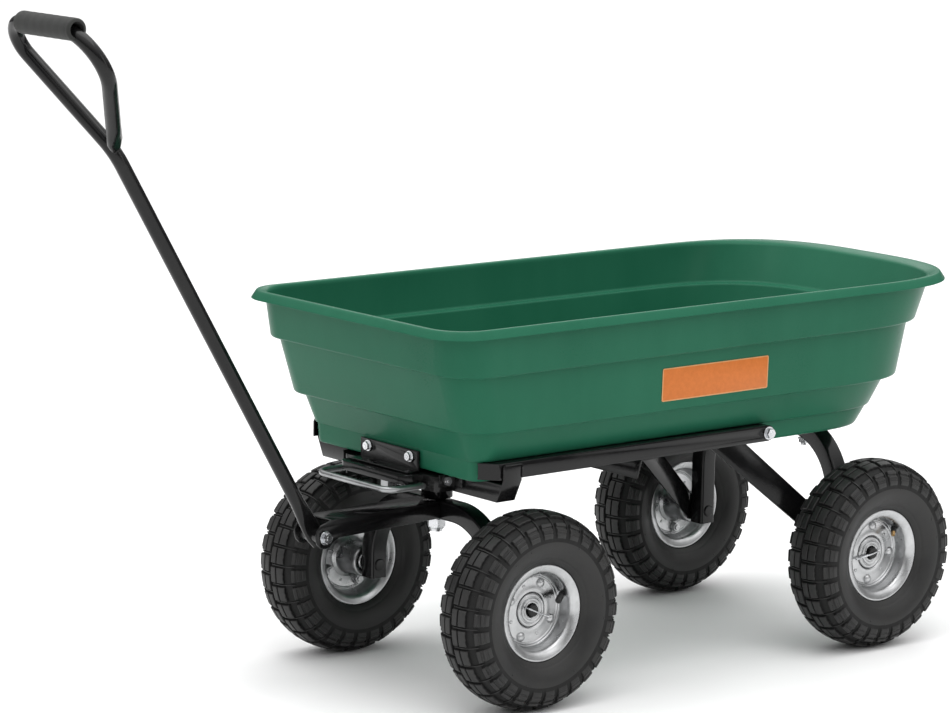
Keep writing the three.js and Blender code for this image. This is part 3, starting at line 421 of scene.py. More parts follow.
def sweep(stations, section, side, caps=True):
    """section(i, distance) gives (across, up) points; side is the direction that across keeps."""
    points, walked = [], 0.0
    for i, (at, heading) in enumerate(stations):
        if i:
            walked += (at - stations[i - 1][0]).length
        across = (side - heading * side.dot(heading)).normalized()
        up = heading.cross(across)
        ring = section(i, walked)
        points.extend(at + across * u + up * v for u, v in ring)
    faces = skin(len(stations), len(ring))
    return points, faces + lids(len(stations), len(ring)) if caps else faces


def through(path):
    """Stations at the points of a path, headed from the point before to the point after."""
    ends = [path[0]] + list(path) + [path[-1]]
    return [(p, (b - a).normalized()) for a, p, b in zip(ends, path, ends[2:])]


def round_section(radius, sides):
    ring = circle(radius, sides)
    return lambda i, walked: ring


def box_outline(width, depth, corner, steps=4):
    """A rectangle with round corners, about its middle."""
    out = []
    for cx, cy, start in ((1, 1, 0), (-1, 1, 90), (-1, -1, 180), (1, -1, 270)):
        for k in range(steps + 1):
            a = math.radians(start + 90 * k / steps)
            out.append((cx * (width / 2 - corner) + corner * math.cos(a),
                        cy * (depth / 2 - corner) + corner * math.sin(a)))
    return out


def hollow(stations, outer, inner, side):
    """An open tube: an outer and an inner skin joined at both ends."""
    points, faces = sweep(stations, lambda i, w: outer, side, False)
    inner_points, inner_faces = sweep(stations, lambda i, w: inner, side, False)
    n, shift = len(outer), len(points)
    faces += [[shift + i for i in face] for face in inner_faces]
    for start in (0, shift - n):
        for k in range(n):
            a, b = start + k, start + (k + 1) % n
            faces.append([a, shift + a, shift + b, b])
    return points + inner_points, faces


def rounded_copy(node, width, body):
    """A painted CAD node with its edges rounded, standing for that node."""
    work = bmesh.new()
    work.from_mesh(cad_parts[node].data)
    bmesh.ops.remove_doubles(work, verts=work.verts, dist=1e-5)
    bmesh.ops.dissolve_limit(work, angle_limit=math.radians(1.5), verts=work.verts,
                             edges=work.edges)
    edges = [e for e in work.edges
             if len(e.link_faces) == 2 and e.calc_face_angle(0) > math.radians(33)]
    bmesh.ops.bevel(work, geom=edges, offset=width * MM, segments=2, profile=0.5,
                    affect="EDGES", clamp_overlap=True)
    mesh = bpy.data.meshes.new(node + "_shown")
    work.to_mesh(mesh)
    work.free()
    mesh.materials.append(PAINT)
    tidy(mesh, 32)
    place(node + "_shown", mesh, body, "black_paint", node)


# -------------------------------------------------------------------- tray
# Each level of the moulding: height, front end, rear end, half width, front
# corner radius and the power of the bowed rear end.
LEVELS = [
    (300, 373, 347, 168.5, 16, 4.2), (303, 374.5, 352, 171.5, 18, 4.0),
    (326.8, 376.5, 376, 172, 18, 3.7), (326.9, 377, 377.7, 180.1, 24, 3.5),
    (367.6, 395, 399.4, 194, 42, 3.4), (368, 406.2, 413, 206.7, 49.5, 3.4),
    (443.6, 430, 433, 209, 50, 3.3), (444, 439.2, 444, 218.9, 55, 3.2),
    (502.5, 447, 472, 220.5, 52, 3.1), (502.8, 451.5, 476, 223.3, 52, 3.1),
    (495.6, 461.6, 493.5, 229, 56, 3.1), (495.6, 464.3, 496.2, 231.7, 57.6, 3.1),
    (506.2, 457.6, 490, 225.3, 52, 3.1), (507, 455.6, 488, 223.3, 50, 3.1),
    (506.4, 448, 480, 218, 48, 3.1),
]
WALL = 4
# The inside follows these levels of the outside down again: level and how far it is raised.
INNER_LEVELS = [(8, 0)] + [(i, WALL) for i in range(7, -1, -1)]
# How far the wall's corners are rounded, at each level up the outside and down the inside.
OUTER_ROUND = [3, 3, 0.1, 2.4, 2.2, 3.0, 2.2, 3.0, 2.0, 2.2, 1.2, 1.2, 3.0, 2.5, 3.0]
INNER_ROUND = [2.5, 3.5, 3.0, 4.0, 3.0, 3.5, 1.5, 4.0, 6.0]
FLOOR_BOLTS = ((REAR_X, 68), (-106, 89))  # the rear arch's and the braces'


def tray_ring(level, corner_steps=12, side_steps=10, rear_steps=30):
    """Points round the tray: two corners at the front, straight sides and a bowed rear end."""
    z, front, rear, half, corner, power = level
    left = []
    for k in range(corner_steps + 1):
        a = math.pi / 2 * k / corner_steps
        left.append((front - corner + corner * math.cos(a), half - corner + corner * math.sin(a)))
    bow = 1.03 * half
    side_start, side_end = left[-1][0], bow - rear
    for k in range(1, side_steps):
        left.append((side_start + (side_end - side_start) * k / side_steps, half))
    for k in range(rear_steps + 1):
        t = math.pi / 2 * k / rear_steps
        along = math.sin(t) ** (2 / power)
        across = 0.0 if k == rear_steps else math.cos(t) ** (2 / power)
        left.append((side_end - bow * along, half * across))
    right = [(x, -y) for x, y in left[:-1]][::-1]
    return [(x, y, z) for x, y in left + right]


def shrunk(level, inset, lift=0.0):
    z, front, rear, half, corner, power = level
    return (z + lift, front - inset, rear - inset, half - inset, max(corner - inset, 3), power)


def tray_piece():
    inside = [shrunk(LEVELS[i], WALL, lift) for i, lift in INNER_LEVELS]
    run = [shrunk(LEVELS[0], 14)] + LEVELS + inside + [shrunk(LEVELS[0], WALL + 16, WALL)]
    radii = [0] + OUTER_ROUND + INNER_ROUND + [0]
    levels = rounded(run, radii, size=lambda gap: math.hypot(gap[3], gap[0]), even=False)
    rings = [tray_ring(level) for level in levels]
    size = len(rings), len(rings[0])
    shape = Shape().add(([p for ring in rings for p in ring], skin(*size) + lids(*size)))
    floor = LEVELS[0][0] + WALL
    outline = [(0, floor - 1), (12, floor - 1), (12, floor + 1.2), (0, floor + 1.2)]
    for x, y in FLOOR_BOLTS:
        for s in (1, -1):
            shape.add(disc_ring(outline, 0.5, 28, "z"), Matrix.Translation((x, y * s, 0)))
    show("tray_shell", shape, "tray_assembly", "poly", "tray", 50)


def label_piece():
    """A thin plate that leans with the tray's middle band."""
    low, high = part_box("label")
    middle_z = (low + high).z / 2 / MM
    half_wide, half_high = 94, 22
    (band_z, _, _, band_y, _, _), (upper_z, _, _, upper_y, _, _) = LEVELS[5:7]
    lean = math.atan2(upper_y - band_y, upper_z - band_z)
    outline = box_outline(2 * half_wide, 2 * half_high, 2.5)
    points = []
    for inset, out in ((0.0, 0.3), (0.0, 0.75), (0.25, 0.9)):
        points += [(u * (1 - inset / half_wide), out, v * (1 - inset / half_high))
                   for u, v in outline]
    size = 3, len(outline)
    at = Matrix.Translation((0, band_y + (middle_z - band_z) * math.tan(lean), middle_z))
    shape = Shape().add((points, lids(*size) + skin(*size)), at @ Matrix.Rotation(-lean, 4, "X"))
    show("label_decal", shape, "tray_assembly", "label", "label")


# ------------------------------------------------------------- fastenings
def hex_part(radius, height, both=False):
    """A hexagon prism whose corners are turned down towards its top, or towards both ends."""
    points = []
    sides, face = 48, 0.88 * radius
    for row in range(0 if both else 1, 4):
        for k in range(sides):
            a = 2 * math.pi * k / sides
            r = radius * math.cos(math.pi / 6) / math.cos(a % (math.pi / 3) - math.pi / 6)
            low = 0.6 * max(0.0, r - face)
            h = (0.0, low if both else 0.0, height - low, height)[row]
            if row in (0, 3):
                r = min(r, face)
            points.append((r * math.cos(a), r * math.sin(a), h))
    rows = len(points) // sides
    return points, skin(rows, sides) + lids(rows, sides)


def toward(direction, at):
    """A matrix that takes local +Z to a direction and the origin to a point."""
    turn = Vector((0, 0, 1)).rotation_difference(Vector(direction)).to_matrix().to_4x4()
    return Matrix.Translation(at) @ turn


def washer(radius, bore, thick):
    return lathe([(bore, 0), (radius - 0.3, 0), (radius, 0.3), (radius, thick - 0.3),
                  (radius - 0.3, thick), (bore, thick)], 32, True, "z")


def shank(radius, start, end, threaded=0.0):
    """A rod along +Z whose last part is threaded."""
    profile = [(0.01, start), (radius, start)]
    z = end - threaded
    profile.append((radius, z))
    while threaded and z < end - 1.6:
        profile.extend([(radius * 0.9, z + 0.5), (radius, z + 1.0)])
        z += 1.0
    profile.extend([(radius, end - 0.8), (radius * 0.82, end), (0.01, end)])
    return lathe(profile, 20, False, "z")


def nut_part(radius, height):
    return hex_part(radius, height, both=True)


# A bolt's head: radius over the corners, height, and radius of the washer under it.
BRACKET_HEAD, CORNER_HEAD = (5.8, 4.2, 7.4), (5.8, 4.5, 0)
M8_HEAD, KINGPIN_HEAD = (7, 5.2, 9), (13, 10, 0)
M6, M8, M16 = 3, 4, 8  # radii
HEAD_WASHER = 1.6
DOME_Z = LEVELS[0][0] + WALL + 1.5  # the underside of the floor bolts' heads
# Where the other heads sit on the left side, and where the spacer and the nut start.
BRACKET_BOLT, CORNER_BOLT = (380.6, 44, 315), (367, 103.3, 291)
TIP_BOLT_Y, HANDLE_BOLT_Y, KINGPIN_HEAD_Z = 195.3, 24.3, 274
SPACER_Y, KINGPIN_NUT_Z = 172.3, 204.9


def bolt_shape(aim, head, radius, reach):
    """A bolt whose head sits at the origin of aim and whose shank reaches back from there."""
    shape = Shape()
    corner, height, wide = head
    base = HEAD_WASHER if wide else 0.0
    if wide:
        shape.add(washer(wide, corner * 0.4, HEAD_WASHER), aim)
    shape.add(hex_part(corner, height), aim @ rise(base))
    mark = disc_ring([(0, 0), (corner * 0.42, 0), (corner * 0.36, 0.5), (0, 0.5)], 0.1, 20, "z")
    shape.add(mark, aim @ rise(base + height - 0.1))
    return shape.add(shank(radius, -reach, 1), aim)


def coach_bolt_shape(at, nut_top):
    """A domed head on the tray's floor and a washer and a nut below."""
    dome = [(0, 0), (8, 0), (7.6, 1.6), (4.5, 3.2), (0, 3.5)]
    shape = Shape().add(disc_ring([(r, DOME_Z + h) for r, h in dome], 0.8, 28, "z"), at)
    shape.add(shank(M8, 0, DOME_Z + 1 - nut_top + 10), at @ rise(nut_top - 10))
    shape.add(washer(8.6, 3.6, 1.4), at @ rise(nut_top - 1.4))
    return shape.add(nut_part(7.4, 5.1), at @ rise(nut_top - 6.5))


def fastening(node, body, shape, kind="hex"):
    show(f"{node}_{kind}", shape, body, "zinc_plate", node, 30)


def side_fastenings(side, s):
    outwards = (0, s, 0)
    aim = toward((1, 0, 0), mirrored(BRACKET_BOLT, s))
    fastening(f"bracket_bolt_{side}", "tray_assembly", bolt_shape(aim, BRACKET_HEAD, M6, 16.5))
    aim = toward(outwards, TIP_PIVOT + Vector((0, TIP_BOLT_Y * s, 0)))
    tip_bolt = bolt_shape(aim, M8_HEAD, M8, 35.3).add(nut_part(7, 6.4), aim @ rise(-34.2))
    fastening(f"tip_bolt_{side}", "front_frame", tip_bolt)
    aim = toward(outwards, mirrored(CORNER_BOLT, s))
    fastening(f"corner_bolt_{side}", "front_frame", bolt_shape(aim, CORNER_HEAD, M6, 6.3))
    for name, (x, y), nut_top in zip(("arch", "brace"), FLOOR_BOLTS, (268.6, 295.4)):
        shape = coach_bolt_shape(Matrix.Translation((x, y * s, 0)), nut_top)
        fastening(f"{name}_bolt_{side}", "tray_assembly", shape)
    sleeve = lathe([(4.3, 0), (7.5, 0), (7.5, 19.9), (4.3, 19.9)], 28, True, "z")
    aim = toward(outwards, TIP_PIVOT + Vector((0, SPACER_Y * s, 0)))
    fastening(f"tip_spacer_{side}", "front_frame", Shape().add(sleeve, aim), "sleeve")


def fastenings():
    for side, s in SIDES:
        side_fastenings(side, s)
    at = Matrix.Translation((FRONT_X, 0, KINGPIN_HEAD_Z))
    fastening("kingpin", "front_frame", bolt_shape(at, KINGPIN_HEAD, M16, 75))
    at = Matrix.Translation((FRONT_X, 0, KINGPIN_NUT_Z))
    nut = Shape().add(washer(15, 8.3, 2.4), at @ rise(11.4))
    nut.add(nut_part(13, 11.4), at)
    nut.add(lathe([(8.2, 0), (10.8, 0), (9.8, -2.6), (8.2, -2.6)], 32, True, "z"), at)
    fastening("kingpin_nut", "front_frame", nut)
    aim = toward((0, 1, 0), HANDLE_PIVOT + Vector((0, HANDLE_BOLT_Y, 0)))
    fastening("handle_bolt", "front_axle", bolt_shape(aim, M8_HEAD, M8, 59.3))
    aim = toward((0, -1, 0), HANDLE_PIVOT - Vector((0, HANDLE_BOLT_Y, 0)))
    nut = Shape().add(nut_part(7, 7.4), aim @ rise(0.1))
    nut.add(washer(8.4, 4.2, 1.2), aim)
    fastening("handle_nut", "front_axle", nut)


# ----------------------------------------------------------- arches, frame
ARCH_TUBE, ARCH_WALL, ARCH_BEND, LEG_FOOT_Z = 25, 2, 88, 112


def arch_piece(name, body, node, x, top, leg, track):
    """A square tube bent into an arch, with a stub axle welded through each leg."""
    middle = top - ARCH_TUBE / 2
    corners = [(x, -leg, LEG_FOOT_Z), (x, -leg, middle), (x, leg, middle), (x, leg, LEG_FOOT_Z)]
    outer = box_outline(ARCH_TUBE, ARCH_TUBE, 3.2)
    bore = ARCH_TUBE - 2 * ARCH_WALL
    stations = filled(bent(corners, ARCH_BEND, 26), 30)
    shape = Shape().add(hollow(stations, outer, box_outline(bore, bore, 1.6), Vector((1, 0, 0))))
    start, end = leg - 14.5, track + AXLE_END
    stub = [(0, start), (AXLE_RADIUS, start), (AXLE_RADIUS, end), (0, end)]
    weld = [(8, leg + 12.3), (11.5, leg + 12.3), (9.6, leg + 14.2), (8, leg + 15.6)]
    for _, s in SIDES:
        at = Matrix.Translation((x, 0, AXLE_Z)) @ Matrix.Scale(s, 4, (0, 1, 0))
        shape.add(disc_ring(stub, 1.2, 36), at)
        shape.add(lathe(weld, 36), at)
    show(name, shape, body, "black_paint", node, 40)


def bead(start, end, radius, phase=0):
    """A weld bead: a low ridge with ripples."""
    start, end = Vector(start), Vector(end)
    heading = (end - start).normalized()
    count = max(6, int((end - start).length / 1.1))
    stations = [(start.lerp(end, k / count), heading) for k in range(count + 1)]

    def section(i, walked):
        swell = 1 + 0.12 * math.sin(i * 2.1 + phase) + 0.06 * math.sin(i * 0.7 + 2 * phase)
        return circle(radius * swell * min(1, 0.35 + 0.5 * min(i, count - i)), 10)

    side = Vector((0, 0, 1)) if abs(heading.z) < 0.9 else Vector((1, 0, 0))
    return sweep(stations, section, side)


# How far the edges of each painted steel piece are rounded.
SIDE_STEEL = (("side_rail", 1.3, "front_frame"), ("corner_angle", 0.7, "front_frame"),
              ("brace", 0.9, "tray_assembly"))
MIDDLE_STEEL = (("front_crossmember", 1.0, "front_frame"), ("mid_crossmember", 1.0, "front_frame"),
                ("front_plate", 0.9, "front_frame"), ("king_plate", 0.8, "front_frame"),
                ("tray_bracket", 0.7, "tray_assembly"), ("tongue", 1.0, "front_axle"))
# Beads on the left side: start, end and radius.
FRAME_BEADS = [
    ((321, 198.2, 324.2), (349, 198.2, 324.2), 1.5), ((319.8, 198, 306), (319.8, 198, 323), 1.4),
    ((350.2, 198, 306), (350.2, 198, 323), 1.4), ((350.4, 96, 296.3), (350.4, 20, 296.3), 1.3),
]
# The plate that closes the mitred front end of the left rail: its plan, bottom and top.
RAIL_CAP = [(373.4, 174), (355.4, 194.6), (353.9, 193.3), (371.9, 172.7)]
RAIL_CAP_Z = (306, 325.8)


def frame_pieces():
    for side, _ in SIDES:
        for name, width, body in SIDE_STEEL:
            rounded_copy(f"{name}_{side}", width, body)
    for name, width, body in MIDDLE_STEEL:
        rounded_copy(name, width, body)
    welds = Shape()
    for _, s in SIDES:
        for number, (start, end, radius) in enumerate(FRAME_BEADS, 1):
            welds.add(bead(mirrored(start, s), mirrored(end, s), radius, number * s))
        cap = [mirrored((x, y, z), s) for z in RAIL_CAP_Z for x, y in RAIL_CAP]
        welds.add((cap, lids(2, 4) + skin(2, 4)))
    show("frame_welds", welds, "front_frame", "black_paint", sharp=60)


# ------------------------------------------------------------------ wheels
# The tread's section is a superellipse from the crown (0 degrees) to the
# widest place (90 degrees). Its pattern repeats thirty times round the tyre and
# the far half is half a pitch behind the near half.
CARCASS_RADIUS, TREAD_RISE, TREAD_HALF, TREAD_POWER = 98, 32, 41.5, 2.5
PITCHES = 30
# Along one pitch: place, share of a block, share of a shoulder lug, share of
# the low rib between blocks, and whether a block's edge steps in there.
ALONG = [
    (-0.045, 0, 0, 0, 0), (-0.02, 0, 0, 1, 0), (0.02, 0, 0, 1, 0), (0.045, 0, 0, 0, 0),
    (0.09, 0, 0, 0, 0), (0.11, 0.86, 0, 0, 0), (0.14, 1, 0, 0, 0), (0.17, 1, 0.86, 0, 0),
    (0.20, 1, 1, 0, 0), (0.37, 1, 1, 0, 1), (0.50, 1, 1, 0, 0), (0.63, 1, 1, 0, 1),
    (0.80, 1, 1, 0, 0), (0.83, 1, 0.86, 0, 0), (0.86, 1, 0, 0, 0), (0.89, 0.86, 0, 0, 0),
    (0.91, 0, 0, 0, 0),
]
# Across the section: angle, height of a block, height of a lug, share of the step.
ACROSS = [
    (0, 0, 0, 0), (0.7, 0, 0, 0), (1.2, 0.86, 0, 0), (2.1, 1, 0, 0), (10.4, 1, 0, 0),
    (11.2, 0.86, 0, 0), (11.7, 0.3, 0, 0), (13.4, 0.3, 0, 0), (13.9, 0.86, 0, 0), (14.8, 1, 0, 0),
    (22, 1, 0, 0), (30, 1, 0, 1), (31.3, 0.86, 0, 1), (32, 0, 0, 1), (42, 0, 0, 0),
    (51.2, 0, 0, 0), (52.2, 0, 0.86, 0), (53.6, 0, 1, 0), (60.6, 0, 1, 0), (61.8, 0, 0.86, 0),
    (62.6, 0, 0.55, 0), (67.6, 0, 0.55, 0), (68.6, 0, 0.88, 0), (70, 0, 1, 0), (76, 0, 1, 0),
    (77.4, 0, 0.72, 0), (79.4, 0, 0.72, 0), (80.8, 0, 1, 0), (86, 0, 0.9, 0), (88, 0, 0.55, 0),
    (89.6, 0, 0, 0),
]
# Radius and distance out from the wheel's middle, below the tread and inside the tyre.
SIDEWALL = [
    (95, 40.3), (90, 40.2), (84, 38.8), (78.5, 36.6), (73.8, 33.9), (71.6, 32.5),
    (71, 31.8), (70.2, 31.5), (67.4, 29.4), (65.4, 27.9), (64.3, 26.9), (64, 25.8),
    (63.6, 24.5), (58.5, 24), (54.6, 22.4), (52.4, 19.5), (51.8, 16.5),
]
TYRE_INSIDE = [(97, 33.0), (112, 29.0), (121, 17.0)]
TREAD_DEPTH, SHOULDER_DEPTH = 4.3, 1.4
SHOULDER = 60  # degrees from the crown
RIB_HEIGHT = 0.42
STEP_IN = 1.7
# Those faces take the darker rubber: painted shade in the grooves.
GROOVE_SHARE = 0.35  # faces that reach below this share of the tread's depth are in a groove


def tread_point(t, height):
    """(radius, out) on the section, height being the share of the tread's depth there."""
    past = max(0, t - SHOULDER) / (90 - SHOULDER)
    depth = TREAD_DEPTH - (TREAD_DEPTH - SHOULDER_DEPTH) * past
    a = math.radians(t)
    c, s = max(math.cos(a), 1e-4), max(math.sin(a), 1e-4)
    power = 2 / TREAD_POWER
    normal = Vector((c ** (2 - power) / TREAD_RISE, s ** (2 - power) / TREAD_HALF)).normalized()
    out = TREAD_HALF * s ** power if t else 0.0
    at = Vector((CARCASS_RADIUS + TREAD_RISE * c ** power, out))
    return at - normal * (1 - height) * depth


def tread_height(block, lug, t, along):
    _, in_block, in_lug, rib, _ = along
    if t < SHOULDER:
        fade = 1 if t > 1 else 0
    else:
        fade = max(0, 1 - (t - SHOULDER) / 10)
    return max(block * in_block, lug * in_lug, RIB_HEIGHT * rib * fade)


def tyre_side(shift):
    """Rings of (radius, out, angle, height) from the crown to the bead."""
    pitch = 2 * math.pi / PITCHES
    angles = [(p + along[0] + shift) * pitch for p in range(PITCHES) for along in ALONG]
    rings = []
    for t, block, lug, step in ACROSS:
        row = []
        for along in ALONG:
            height = tread_height(block, lug, t, along)
            row.append((*tread_point(t - STEP_IN * step * along[4], height), height))
        rings.append([(r, out, a, height) for a, (r, out, height) in zip(angles, row * PITCHES)])
    return rings + [[(r, out, a, 1) for a in angles] for r, out in SIDEWALL]


def tyre_part():
    """The tyre's points, faces and looks, a look of 1 giving a deep groove face the darker rubber
    of painted shade; its far half is turned by half a pitch.
    """
    near, far = tyre_side(0.0), tyre_side(0.5)
    half = len(ALONG) // 2
    far = [ring[-half:] + ring[:-half] for ring in far]
    inside = [[(r, out, a, 1) for _, _, a, _ in near[0]] for r, out in TYRE_INSIDE]
    rings = [[(r, -out, a, h) for r, out, a, h in ring] for ring in far[:0:-1]] + near + inside
    rings += [[(r, -out, a, h) for r, out, a, h in ring] for ring in inside[::-1]]
    points = [(r * math.cos(a), out, r * math.sin(a)) for ring in rings for r, out, a, _ in ring]
    heights = [h for ring in rings for _, _, _, h in ring]
    faces = skin(len(rings), len(near[0]), True)
    # Faces deep in a groove get the second, darker material: painted shade.
    looks = [int(min(heights[v] for v in face) < GROOVE_SHARE) for face in faces]
    return points, faces, looks


def around(degrees, radius, out):
    """Matrix to a place on the wheel, with +Z pointing out of its face and +X outwards."""
    turn = Matrix.Rotation(-math.radians(degrees), 4, "Y")
    basis = Matrix(((1, 0, 0, radius), (0, 0, 1, out), (0, -1, 0, 0), (0, 0, 0, 1)))
    return turn @ basis


PIPS, HAIRS = 9, 14


def tyre_shape():
    """The tyre with small round pips on both sidewalls and a few moulding hairs."""
    points, faces, looks = tyre_part()
    shape = Shape().add((points, faces), look=looks)
    pip = disc_ring([(0, -0.6), (1.3, -0.6), (1.1, 0.5), (0, 0.7)], 0.3, 12, "z")
    for k in range(PIPS):
        at = around(360 / PIPS * k + 11 * (k % 3), 91 + 3 * (k % 2), 40.2)
        for _, s in SIDES:
            shape.add(pip, Matrix.Scale(s, 4, (0, 1, 0)) @ at)
    for k in range(HAIRS):
        t = 62 if k % 2 else 42
        root = tread_point(t, 0.1)
        heading = Vector((math.cos(math.radians(t)), math.sin(math.radians(t))))
        a = math.radians(360 / HAIRS * k + 9 * (k % 3))
        s = 1 if k % 4 < 2 else -1

        def at(reach):
            r, out = root + heading * reach
            return Vector((r * math.cos(a), s * out, r * math.sin(a)))

        stations = [(at(d), (at(1) - at(0)).normalized()) for d in (-1, 1.5, 3.2, 4.6)]
        shape.add(sweep(stations, round_section(0.35, 6), Vector((0.3, 0.1, 0.2))))
    return shape


# Radius and distance out from the wheel's middle, round the outline of the outer pressing.
RIM_FACE = [
    (22.9, 0.4), (22.9, 1.9), (24, 3.3), (27.5, 3.3), (32.5, 2.3), (42.8, 2.3), (43.7, 3.3),
    (45, 3.3), (46, 1.7), (47.2, 1.9), (48.6, 3.6), (49.1, 8), (49.5, 14), (50, 18.5),
    (51.5, 21.8), (54.2, 24.2), (57.6, 25.7), (61.4, 26.8), (63, 26.7), (63.6, 25.8),
    (63.1, 25), (60, 24.8), (56.2, 23.4), (53.4, 21.4), (51.4, 18), (50.9, 12),
    (50.6, 4), (50.2, 0.4),
]
RIM_ROUND = ([0, 0.3, 1, 1.5, 2.5, 0.6, 0.5, 0.5, 0.6, 0.8, 2.5] + [3] * 6
             + [0.9, 0.7, 0.7, 1.5] + [3] * 5 + [0.5, 0.4, 0])
SPLIT = 0.4  # the inner pressing is the mirror image, moved out by this
RIM_BOLTS, BOLT_CIRCLE, RIVET_CIRCLE = 4, 37, 34
NUT_FACE = -2.2


def rim_part(inner):
    line = rounded(RIM_FACE + RIM_FACE[:1], RIM_ROUND, 3)[:-1]
    return lathe([(r, SPLIT - h if inner else h) for r, h in line], 96)


def rim_outer_shape():
    """The outer pressing with its round bolt heads, the nuts behind and four rivets."""
    shape = Shape().add(rim_part(False))
    head = disc_ring([(0, 1.8), (6.4, 1.8), (6.2, 3.2), (4.8, 5.2), (2.4, 6.2), (0, 6.4)],
                     1.2, 32, "z")
    rivet = disc_ring([(0, 1.8), (2.5, 1.8), (2.2, 3.2), (0, 3.8)], 0.7, 20, "z")
    for k in range(RIM_BOLTS):
        at = around(90 * k + 45, BOLT_CIRCLE, 0)
        shape.add(head, at)
        shape.add(shank(3.9, -10.5, 2.4), at)
        shape.add(washer(7.6, 4.2, 1.2), at @ rise(NUT_FACE - 1.2))
        shape.add(nut_part(6.8, 5.4), at @ rise(NUT_FACE - 6.6))
        shape.add(rivet, around(90 * k, RIVET_CIRCLE, 0))
    return shape


def rim_inner_shape():
    shape = Shape().add(rim_part(True))
    rivet = disc_ring([(0, -0.2), (2.2, -0.2), (2.0, 0.9), (0, 1.3)], 0.5, 20, "z")
    for k in range(RIM_BOLTS):
        shape.add(rivet, Matrix.Scale(-1, 4, (0, 1, 0)) @ around(90 * k, RIVET_CIRCLE, 1.9))
    return shape


# The hub from its front bearing's bore, round the outside, to the back bearing's bore.
HUB_FACE = [
    (8.4, 2), (8.9, 4.8), (9.6, 5.6), (11.4, 5.8), (12, 4.8), (12.8, 4.8), (13.4, 5.4),
    (15.8, 5.2), (16.6, 3.4), (17.6, 3.2), (18.4, 4.4), (20.6, 4.2), (22, 2.8), (22.2, 0.5),
    (22, -2.6), (28.5, -2.6), (28.5, -3.6), (23.6, -6), (22, -9), (22, -41),
    (20.8, -44.2), (18.6, -45), (16.8, -44), (15.8, -42.6), (12.4, -42.6), (11.6, -44),
    (9.4, -44), (8.4, -42.8),
]


def hub_shape():
    return Shape().add(lathe(rounded(HUB_FACE, 0.6, 3), 72))


def tube_shape(capped):
    """The inner tube: a plain ring inside the tyre, and its valve through the rim."""
    half = [(54, 11), (58, 20), (74, 26), (90, 28.5), (104, 25), (114, 19), (117, 8)]
    shape = Shape().add(lathe(half + [(r, -h) for r, h in half[::-1]], 64))
    foot, tip = Vector((0, 4, 58)), Vector((0, 18, 37))
    aim = toward(tip - foot, foot)
    stem = [(0, 0), (4.1, 0), (4.1, 12.5), (3.7, 19.6), (0, 19.6)]
    shape.add(disc_ring(stem, 0.8, 28, "z"), aim)
    collar = lathe([(3.6, 9.6), (5.3, 9.6), (5.6, 10.2), (5.3, 11.4), (3.6, 11.4)], 32, True, "z")
    shape.add(collar, aim, 1)
    if capped:
        cap = [(0, 18.8), (4.4, 18.8)]
        for k in range(9):
            cap += [(4.4, 19.6 + 1.1 * k), (4.0, 20.1 + 1.1 * k)]
        cap += [(4.3, 29.8), (3.2, 31.4), (0, 31.5)]
        shape.add(disc_ring(cap, 0.12, 28, "z"), aim)
    else:
        shape.add(shank(2.7, 19.0, 26.2, 5.6), aim, 2)
    return shape


# How far each wheel and each split pin is turned about its axle, in degrees.
WHEEL_TURN = {"front_left": -70, "front_right": 20, "rear_left": -50, "rear_right": 40}
PIN_TURN = {"front_left": 204, "front_right": 160, "rear_left": -10, "rear_right": 25}
PIN_WIRE = 1.15


def split_pin_shape(degrees):
    """A wire pin: one leg through the axle, the other bent over the axle's end."""
    line = [(-9.6, 8.2), (-8.8, 10.1), (-6.5, 10.7), (2, 10.9), (7.5, 10.6), (13, 9.6),
            (20, 8.4), (26, 8.6)]
    for degree in range(20, 180, 20):
        a = math.radians(degree)
        line.append((27.5 + 3 * math.sin(a), 7.05 + 2 * math.cos(a)))
    line += [(25, 6.9), (20, 7.3), (13, 7.5), (-10, 7.5), (-12.6, 7.9), (-14, 8.8)]
    turn = around(degrees, 0, 0)
    path = [turn @ Vector((p[0], 0, p[1])) for p in rounded(line, 1.2, 3)]
    side = turn.to_3x3() @ Vector((0, 1, 0))
    return Shape().add(sweep(through(path), round_section(PIN_WIRE, 12), side))


def local_mesh(shape, name, finishes, sharp=35):
    """A mesh in metres about the wheel's own middle."""
    mesh = shape.mesh(name, finishes, sharp)
    mesh.transform(Matrix.Scale(MM, 4))
    return mesh


def wheels():
    # The tyre's second material darkens its grooves: painted shade.
    tread = local_mesh(tyre_shape(), "tyre_tread", [TYRE, PAINTED_GROOVE_SHADE], 30)
    outer = local_mesh(rim_outer_shape(), "rim_outer_pressing", [RIM], 30)
    inner = local_mesh(rim_inner_shape(), "rim_inner_pressing", [RIM], 30)
    hub = local_mesh(hub_shape(), "hub_turned", [RIM], 30)
    capped = local_mesh(tube_shape(True), "tube_capped", [TUBE, ZINC, BRASS])
    open_valve = local_mesh(tube_shape(False), "tube_open", [TUBE, ZINC, BRASS])
    for wheel, clock in WHEEL_TURN.items():
        end, side = wheel.split("_")
        x, track, axle = {"front": (FRONT_X, FRONT_TRACK, "front_axle"),
                          "rear": (REAR_X, REAR_TRACK, "tray_assembly")}[end]
        s = dict(SIDES)[side]
        facing = Matrix.Translation((MIDDLE_X + x * MM, track * s * MM, AXLE_Z * MM))
        if side == "right":
            facing = facing @ Matrix.Rotation(math.pi, 4, "Z")
        turn = Matrix.Rotation(math.radians(clock), 4, "Y")
        valve = open_valve if wheel == "rear_left" else capped
        for mesh, shown, slot, node in (
                (tread, "tyre_tread", "tyre", "tyre"),
                (outer, "rim_face", "rim_zinc", "rim_outer"),
                (inner, "rim_back", "rim_zinc", "rim_inner"),
                (hub, "hub_shell", "rim_zinc", "hub"),
                (valve, "tube_valve", "tube_rubber", "inner_tube")):
            turned = mesh.copy()
            turned.transform(turn)
            place(f"{wheel}_{shown}", turned, f"{wheel}_wheel", slot, f"{wheel}_{node}", facing)
        name = f"{wheel}_split_pin"
        pin = local_mesh(split_pin_shape(PIN_TURN[wheel]), f"{name}_wire", [ZINC])
        place(f"{name}_wire", pin, axle, "zinc_plate", name, facing)


